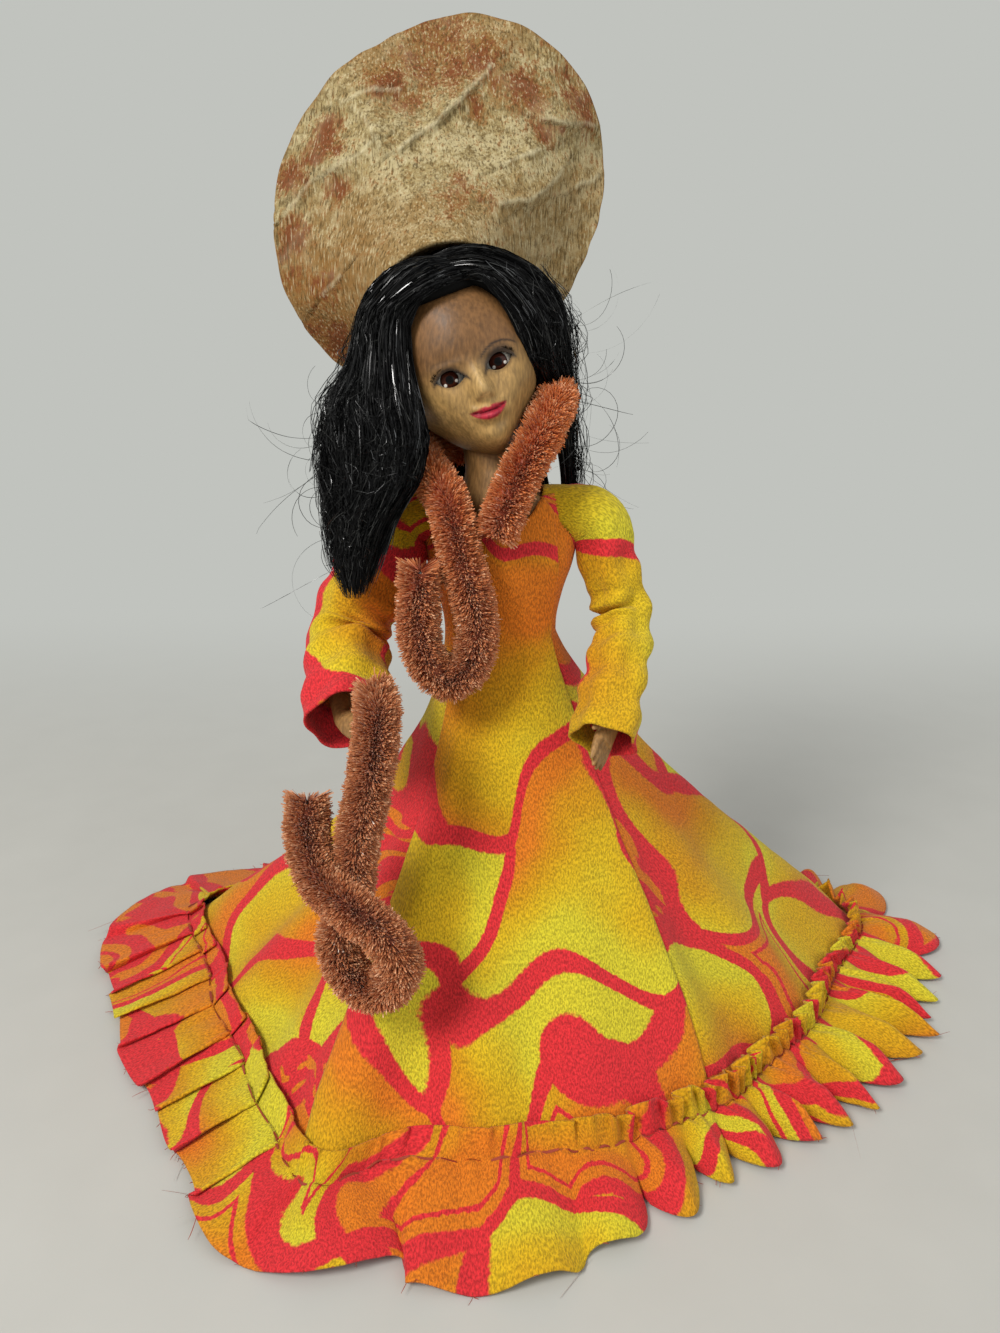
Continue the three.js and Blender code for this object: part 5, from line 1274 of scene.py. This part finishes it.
def gown_spots(turn, share, lift=0.0):
    """Points of the whole gown: share -1 is the neckline, 0 the waist and 1 the stitch line."""
    turn, share, lift = together(turn, share, lift)
    neckline = 135.6
    top = neckline - 9 * hump(turn_from(turn, 0), 0, 0.42)
    level = WAIST_LEVEL + (top - WAIST_LEVEL) * np.clip(-share, 0, 1)
    loose = 1.8 * hump(level, 123, 6) * np.sin(turn) ** 2
    bodice = torso_spots(level - 1.3 * ease(level, 128, neckline), turn, GOWN_GROW + lift + loose)
    bodice[..., 2] = level
    return np.where((share < 0)[..., None], bodice, skirt_spots(turn, np.clip(share, 0, 1), lift))


def seam_turn(seam, share):
    """Turn of a seam, given in degrees at the neckline, the waist and the stitch line."""
    above = seam[1] + (seam[0] - seam[1]) * ease(-share, 0, 1)
    return np.radians(np.where(share < 0, above, seam[1] + (seam[2] - seam[1]) * share))


def outside_armhole(spot):
    by_arm = abs(spot[0] - FOOT.x) >= 0.012
    return not by_arm or math.hypot(spot[1] / MM - FOOT.y / MM, spot[2] / MM - SHOULDER_LEVEL) > ARMHOLE_RADIUS


def gore(word, start, end, slip, tilt, coral_share, proud):
    """One gore between two seams; proud is how far it lies over its neighbours."""
    columns = 10 + int((end[0] - start[0]) * 1.6)
    share = np.concatenate([np.linspace(-1, 0, 44, endpoint=False), np.linspace(0, 1, 100)])[:, None]
    first, last = seam_turn(start, share), seam_turn(end, share)
    turn = first + (last - first) * np.linspace(0, 1, columns)
    tuck = np.exp(-np.minimum(turn - first, last - turn) / 0.014)
    lift = proud * (1 - 0.35 * tuck) if proud else -0.35 * tuck
    spots = gown_spots(turn, share, lift)
    pucker = ripple(spots / np.array((3.2, 3.2, 4.4)), 1)
    soft = ripple(spots * np.array((1, 1, 0.62)), 9, 5.0)
    spots = placed(gown_spots(turn, share, lift + 0.1 * pucker + 0.4 * soft * ease(share, -0.4, 0.5)))
    cut = cut_sizes(spots)
    piece = sheet_piece("gown_" + word + "_cloth", spots, CLOTH, cut=cut, keep=outside_armhole)
    cloth = printed_crepe("gown_" + word + "_print", slip, coral_share, tilt=tilt, bodice=1.0)
    dress(piece, cloth, "gown", "torso", "gown_" + word)


# Seams by their turn in degrees at the neckline, the waist and the stitch line
RIGHT_SEAM, LEFT_SEAM = (-42, -54, -35), (42, 62, 48)
LEFT_BACK_SEAM, BACK_SEAM, RIGHT_BACK_SEAM = (128, 128, 128), (180, 180, 180), (232, 232, 232)
gore("front", RIGHT_SEAM, LEFT_SEAM, (0.31, 0.12), 0.3, 0.03, 0.6)
gore("side_left", LEFT_SEAM, LEFT_BACK_SEAM, (0.83, 0.27), -0.5, 0.05, 0)
gore("back_left", LEFT_BACK_SEAM, BACK_SEAM, (1.36, 0.41), 0.2, 0.08, 0)
gore("back_right", BACK_SEAM, RIGHT_BACK_SEAM, (1.91, 0.16), 0.9, 0.08, 0)
gore("side_right", RIGHT_BACK_SEAM, tuple(360 + turn for turn in RIGHT_SEAM), (2.44, 0.33), 0.6, 0.22, 0)


# Ruffle: gathered on its stitch line, with a header above it and flutes below

FLUTE_STEPS = 22
SMOOTH_OVER = 17
HEADER_ROWS, HEM_ROWS = 8, 24
FRAYED_THREADS = 190
GATHER_THREAD, LOOSE_THREAD = 0.0003, 0.00008
RUFFLE_REACH = 23.5
# Where the ruffle reaches out less: turn in degrees, half width in degrees and share cut off
RUFFLE_SHORT = ((46, 24, 0.42), (-31, 8, 0.2), (-48, 10, 0.28), (-70, 12, 0.17))


def near(turn, middle, span):
    """How near a turn is to a middle in degrees: 1 within the span, and 0 far from it."""
    return ease(np.abs(turn_from(turn, middle)), math.radians(span + 9), math.radians(span - 9))


def ruffle_kinds(turn):
    """Shares of flat pleats, broad front folds and rounded lobes in the ruffle at a turn."""
    return near(turn, -92, 56), near(turn, -6, 29), near(turn, 72, 50)


def flutes(rng):
    """Turn at which each fold of the ruffle starts, and its height, fold-back and added reach."""
    round_it = np.linspace(-np.pi, np.pi, 2001)
    far = walked(np.stack(stitch_spot(round_it), axis=1))
    made = []
    at = 0.0

    def drawn(shares, *spans):
        return sum(share * rng.uniform(*span) for share, span in zip(shares, spans))

    while at < far[-1] - 4:
        flat, front, lobe = [float(value) for value in ruffle_kinds(float(np.interp(at, far, round_it)))]
        plain = max(0.0, 1 - flat - front - lobe)
        shares = flat, front, lobe, plain
        pitch = drawn(shares, (9, 15), (11, 20), (6.5, 13), (9, 13))
        height = drawn(shares, (2.2, 3.2), (2.4, 4.4), (4.6, 7.4), (4, 5.5))
        back = (flat * (pitch / 6.28 + rng.uniform(1.6, 2.6)) + front * 1.2 + lobe * rng.uniform(1.2, 2.2)
                + plain * 1.8)
        longer = rng.uniform(-1.6, 1.6) + front * rng.uniform(-1.5, 1.5) + lobe * rng.uniform(-2.5, 1.5)
        made.append((at, height, back, longer))
        at += pitch
    scale = far[-1] / at
    return [(float(np.interp(start * scale, far, round_it)), *rest) for start, *rest in made]


def ruffle_spots(rng):
    """Points of the ruffle from its header's edge to its hem, and the ways out from its stitch line and along it."""
    made = flutes(rng)
    starts = [flute[0] for flute in made] + [math.pi]
    turn = [np.linspace(a, b, FLUTE_STEPS, endpoint=False) for a, b in zip(starts, starts[1:])]
    turn = np.concatenate(turn + [[math.pi]])
    phase = np.concatenate([np.linspace(0, 2 * np.pi, FLUTE_STEPS, endpoint=False)] * len(made) + [[2 * np.pi]])
    height, back, longer = [np.repeat([flute[n] for flute in made], FLUTE_STEPS) for n in (1, 2, 3)]
    height, back, longer = [evened(np.append(values, values[0]), SMOOTH_OVER) for values in (height, back, longer)]
    flat_share, lobe_share = [evened(share, SMOOTH_OVER) for share in ruffle_kinds(turn)[::2]]
    wave = 0.5 - 0.5 * np.cos(phase)
    # A pleat climbs slowly to its folded edge and drops back under it.
    climb = np.clip((phase - 1.05) / (2 * np.pi - 2.1), 0, 1)
    under = np.mod(phase + 1.05, 2 * np.pi) / 2.1
    climb = np.where(under < 1, 0.5 + 0.5 * np.cos(np.pi * np.clip(under, 0, 1)), climb)
    finger = (1 - np.abs(phase / np.pi - 1) ** 2.6) ** 0.55
    shape = wave + (climb - wave) * flat_share + 0.5 * (finger - wave) * lobe_share
    stitch = skirt_spots(turn, 1.0)
    drop = unit(stitch - skirt_spots(turn, 0.96))
    step = 0.004
    along = skirt_spots(turn + step, 1.0) - skirt_spots(turn - step, 1.0)
    along[:, 2] = 0
    along = unit(along)
    for _ in range(4):
        along = np.stack([evened(along[:, n], SMOOTH_OVER) for n in range(3)], axis=1)
    along = unit(along)
    out = np.stack([along[:, 1], -along[:, 0], 0 * along[:, 0]], axis=1)
    normal = np.cross(along, drop)
    normal *= np.sign((normal * out).sum(axis=1))[:, None]
    spread = 1
    for middle, wide, share in RUFFLE_SHORT:
        spread = spread - share * hump(turn, math.radians(middle), math.radians(wide))
    spread = RUFFLE_REACH * spread
    frill = (0.5 - 0.5 * np.cos(3 * phase + 1.4 * np.sin(phase))) * (0.4 + 0.9 * lobe_share) * (1 - 0.65 * flat_share)
    fold_back = -back * np.sin(phase)
    rows = []
    for share in np.linspace(1, 0, HEADER_ROWS + 1)[:-1]:
        stand = 0.9 + 1.3 * shape * flat_share + share ** 0.9 * (0.5 + 3.2 * frill) + 0.3 * wave * (1 - flat_share)
        sag = 7.2 * share + share * (wave - 0.5) * (0.5 + 1.6 * lobe_share)
        sway = fold_back * flat_share + 0.9 * share * np.sin(3 * phase) * (1 - flat_share)
        rows.append(stitch - drop * sag[:, None] + normal * stand[:, None] + along * sway[:, None])
    for share in np.linspace(0, 1, HEM_ROWS):
        tuck = 1 - 0.74 * lobe_share * (1 - finger) * share
        reach = (spread + longer + 1.5 * lobe_share * wave) * share * tuck + 0.8
        full = 1 - (1 - share) ** 2.2
        rounded = np.clip(math.sin(math.pi * (0.12 + 0.8 * share) ** 0.9) * 1.15, 0.1, 1)
        swell_up = height * (full * (1 - 0.1 * share ** 3) * (1 - lobe_share) + rounded * full * lobe_share)
        gather = 0.4 * (1 - share) ** 3 * (1 - flat_share) + 0.34 * (1 - share) ** 1.2 * flat_share
        level = (5.6 * (1 - share) ** 1.25 + 0.45 + swell_up * shape + gather * np.cos(3 * phase + 0.8)
                 + 0.5 * (1 - share) + 1.3 * flat_share * (1 - full) * shape)
        sway = fold_back * (flat_share + (1 - flat_share) * share ** 0.6 * (1 - 1.45 * lobe_share))
        row = stitch + out * reach[:, None] + along * sway[:, None]
        row[:, 2] = level
        rows.append(row)
    spots = np.array(rows)
    # Fine wrinkles run out from the stitch line on both sides and fade towards the edges.
    past = np.concatenate([np.linspace(-0.33, 0, HEADER_ROWS + 1)[:-1], np.linspace(0, 1, HEM_ROWS)])
    far = walked(spots[HEADER_ROWS + 6])
    strewn = np.stack(np.broadcast_arrays(far[None], 3.4 * past[:, None], 0.0), axis=2)
    wrinkle = ripple(strewn, 2.1, 9.3) + 0.5 * ripple(strewn, 1.1, 4.6)
    off = np.abs(past)
    wrinkle *= (0.62 * np.clip(1 - off, 0, 1) ** 0.7 * np.minimum(1, 0.25 + 6 * off) + 0.1)[:, None]
    spots[HEADER_ROWS:, :, 2] += wrinkle[HEADER_ROWS:]
    spots[:HEADER_ROWS] += wrinkle[:HEADER_ROWS, :, None] * 1.2 * normal[None]
    spots[..., 2] = np.maximum(spots[..., 2] + 0.2 * ripple(spots, 3.4) + 0.3 * ripple(spots, 8, 4.0), 0.35)
    return spots, out, along


def ruffle():
    rng = np.random.default_rng(12)
    spots, out, along = ruffle_spots(rng)
    around = walked(placed(spots[-6]))
    down = np.concatenate([[0], np.cumsum(np.linalg.norm(np.diff(spots, axis=0), axis=2).mean(axis=1))]) * MM
    cut = np.stack(np.broadcast_arrays(around[None], -down[:, None]), axis=2)
    piece = sheet_piece("hem_ruffle_cloth", placed(spots), CLOTH, cut=cut, joined=True)
    dress(piece, printed_crepe("ruffle_print", (0.17, 0.55), 0.2, patch=0.04), "ruffle", "torso", "hem_ruffle")
    stitch = spots[HEADER_ROWS] + np.array((0, 0, 0.42)) + out * 0.35
    stitches = [placed(even_line(stitch[n:n + 5], 5)) for n in range(0, len(stitch) - 5, 6)]
    thread = hairs("gather_thread", stitches, GATHER_THREAD, rng)
    frayed = []
    reach = np.linspace(-0.3, 1, 6)[:, None]
    for _ in range(FRAYED_THREADS):
        column = int(rng.integers(0, len(out) - 1))
        way = out[column] * rng.uniform(0.4, 1) + along[column] * rng.normal(0, 0.7)
        size = rng.uniform(0.6, 2.0) + 5 * (rng.random() < 0.1)
        line = spots[-1, column] + way * size * reach + np.array((0, 0, 1)) * rng.normal(0, 0.6) * np.sin(reach * 2)
        line[:, 2] = np.maximum(line[:, 2], 0.25)
        frayed.append(placed(line))
    fray = hairs("frayed_threads", frayed, LOOSE_THREAD, rng)
    for loose in (thread, fray):
        dress(loose, gather_finish, "ruffle", "torso")


ruffle()


# Sleeves

ARM_KNOT_X = 19.55


def sleeve(word, side, elbow, wrist, knuckles, cuff_reach, girths, slip, coral_share, seed):
    """A sleeve over a bent arm, wrinkled most in the crook of the elbow. Girths go from the shoulder to the cuff."""
    elbow, wrist, knuckles = [np.array(spot, float) for spot in (elbow, wrist, knuckles)]
    start = np.array((side * 8.6, 0, SHOULDER_LEVEL + 0.8))
    bend = np.array((side * (ARM_KNOT_X + 1.6), -0.2, SHOULDER_LEVEL - 1.8))
    upper = bend + (elbow - bend) * 0.42
    fore = elbow + (wrist - elbow) * 0.55
    cuff = wrist + (knuckles - wrist) * cuff_reach
    knots = (start, bend, upper, elbow, fore, cuff)
    steps = 90
    route = even_line(knots, steps)
    far = np.linspace(0, 1, steps)
    places = [far[np.argmin(np.linalg.norm(route - knot, axis=1))] for knot in knots]
    girth = evened(np.interp(far, places, girths), 13, closed=False)
    aim = unit(np.gradient(route, axis=0))
    front = unit(np.cross(aim, (0, 1, 0)))
    across = np.cross(front, aim)
    turn = np.linspace(0, 2 * np.pi, 73)
    share = far[:, None]
    crook = share - places[3]
    bow = unit(route[steps // 2 - 1] - (route[0] + route[-1]) / 2)
    facing = (front @ bow)[:, None] * np.cos(turn) + (across @ bow)[:, None] * np.sin(turn)
    hollow = hump(crook, 0, 0.13) * np.clip(-facing, 0, 1)
    fades = ease(share, 0.15, 0.5) * (1 - 0.5 * ease(share, 0.85, 1))
    radius = girth[:, None] + hollow * 1.3 * np.sin(crook * 75 + 1.2 * np.cos(turn + seed))
    radius = radius + 0.55 * np.sin(5 * turn + 6 * share + seed) * ease(share, 0.1, 0.4)
    radius = radius + 0.5 * np.sin(share * 48 + 2.2 * np.sin(turn + seed) + seed) * fades
    ring = ringed(turn, front, across)
    spots = route[:, None] + ring * radius[..., None]
    spots = spots + ring * (0.25 * ripple(spots, 2.8, (seed, 0, 0)))[..., None]
    length = walked(route)[-1]
    mean = float(girth.mean())
    cut = np.stack(np.broadcast_arrays(turn[None] * mean * MM, -share * length * MM), axis=2)
    piece = sheet_piece(word + "_sleeve_cloth", placed(spots), CLOTH, cut=cut, joined=True)
    shoulder = (side * 16.5, 0, SHOULDER_LEVEL), (side * 22.5, 0, SHOULDER_LEVEL - 3)
    dress(piece, printed_crepe(word + "_sleeve_print", slip, coral_share, patch=0.05), "ruffle",
          ("torso", word + "_arm", *shoulder), word + "_sleeve")


sleeve("left", 1, (28, -3, 108), (24, -22, 91.5), (21.5, -27, 86.5), 0.9, (5, 6.7, 5.9, 5.6, 6.2, 6.9),
       (0.63, 0.9), 0.03, 1.0)
sleeve("right", -1, (-34, -6, 105), (-32.5, -25, 91.5), (-28.5, -30, 91.5), 0.3, (5, 7.6, 9.4, 8.4, 8.6, 9.2),
       (1.13, 0.77), 0.05, 2.4)


# Floor and light

paper = Finish("pale_paper_floor", Roughness=0.9)
paper.set(Base_Color=paper.dye(paper.grain(paper.here(), 0.02, 4.0), "babab4", "c1c1bb"))
far_off = paper.rise(paper.add("SeparateXYZ", {0: paper.here()}, out="Y"), 0.1, 0.42)
far_off = paper.times(far_off, paper.add("LightPath", {}, out="Is Camera Ray"))
backdrop = paper.add("Emission", {"Color": WALL, "Strength": 1.0})
shown = paper.add("MixShader", {0: far_off, 1: paper.shader.outputs[0], 2: backdrop})
paper.fill(paper.tree.nodes["Material Output"].inputs["Surface"], shown)
bpy.ops.object.select_all(action="DESELECT")
bpy.ops.mesh.primitive_circle_add(vertices=96, radius=3, fill_type="NGON")
floor = bpy.context.object
floor.name = "floor"
floor.data.materials.append(paper.material)


def soft_light(name, spot, aim, size, power, tint):
    bpy.ops.object.light_add(type="AREA", location=place(*spot))
    lamp = bpy.context.object
    lamp.name = name
    lamp.data.size = size
    lamp.data.energy = power
    lamp.data.color = tint
    lamp.rotation_euler = (place(*aim) - place(*spot)).to_track_quat("-Z", "Y").to_euler()


soft_light("window_light", (-520, -620, 820), (0, 0, 90), 0.35, 9.5, (1, 0.98, 0.95))
soft_light("fill_light", (700, -500, 500), (0, 0, 80), 0.8, 2.5, (0.95, 0.97, 1))

world = bpy.data.worlds.new("pale_room")
bpy.context.scene.world = world
room = Nodes(world)
daylight = room.tree.nodes["Background"]
room.fill(daylight.inputs["Color"], "f2f2f0")
room.fill(daylight.inputs["Strength"], 0.5)
path = room.add("LightPath", {}, out=None)
seen = room.reckon("MAXIMUM", path["Is Camera Ray"], path["Is Glossy Ray"])
seen = room.reckon("MAXIMUM", seen, path["Is Transmission Ray"])
behind = room.add("Background", {"Color": WALL, "Strength": 1})
chosen = room.add("MixShader", {0: seen, 1: daylight.outputs[0], 2: behind})
room.fill(room.tree.nodes["World Output"].inputs["Surface"], chosen)
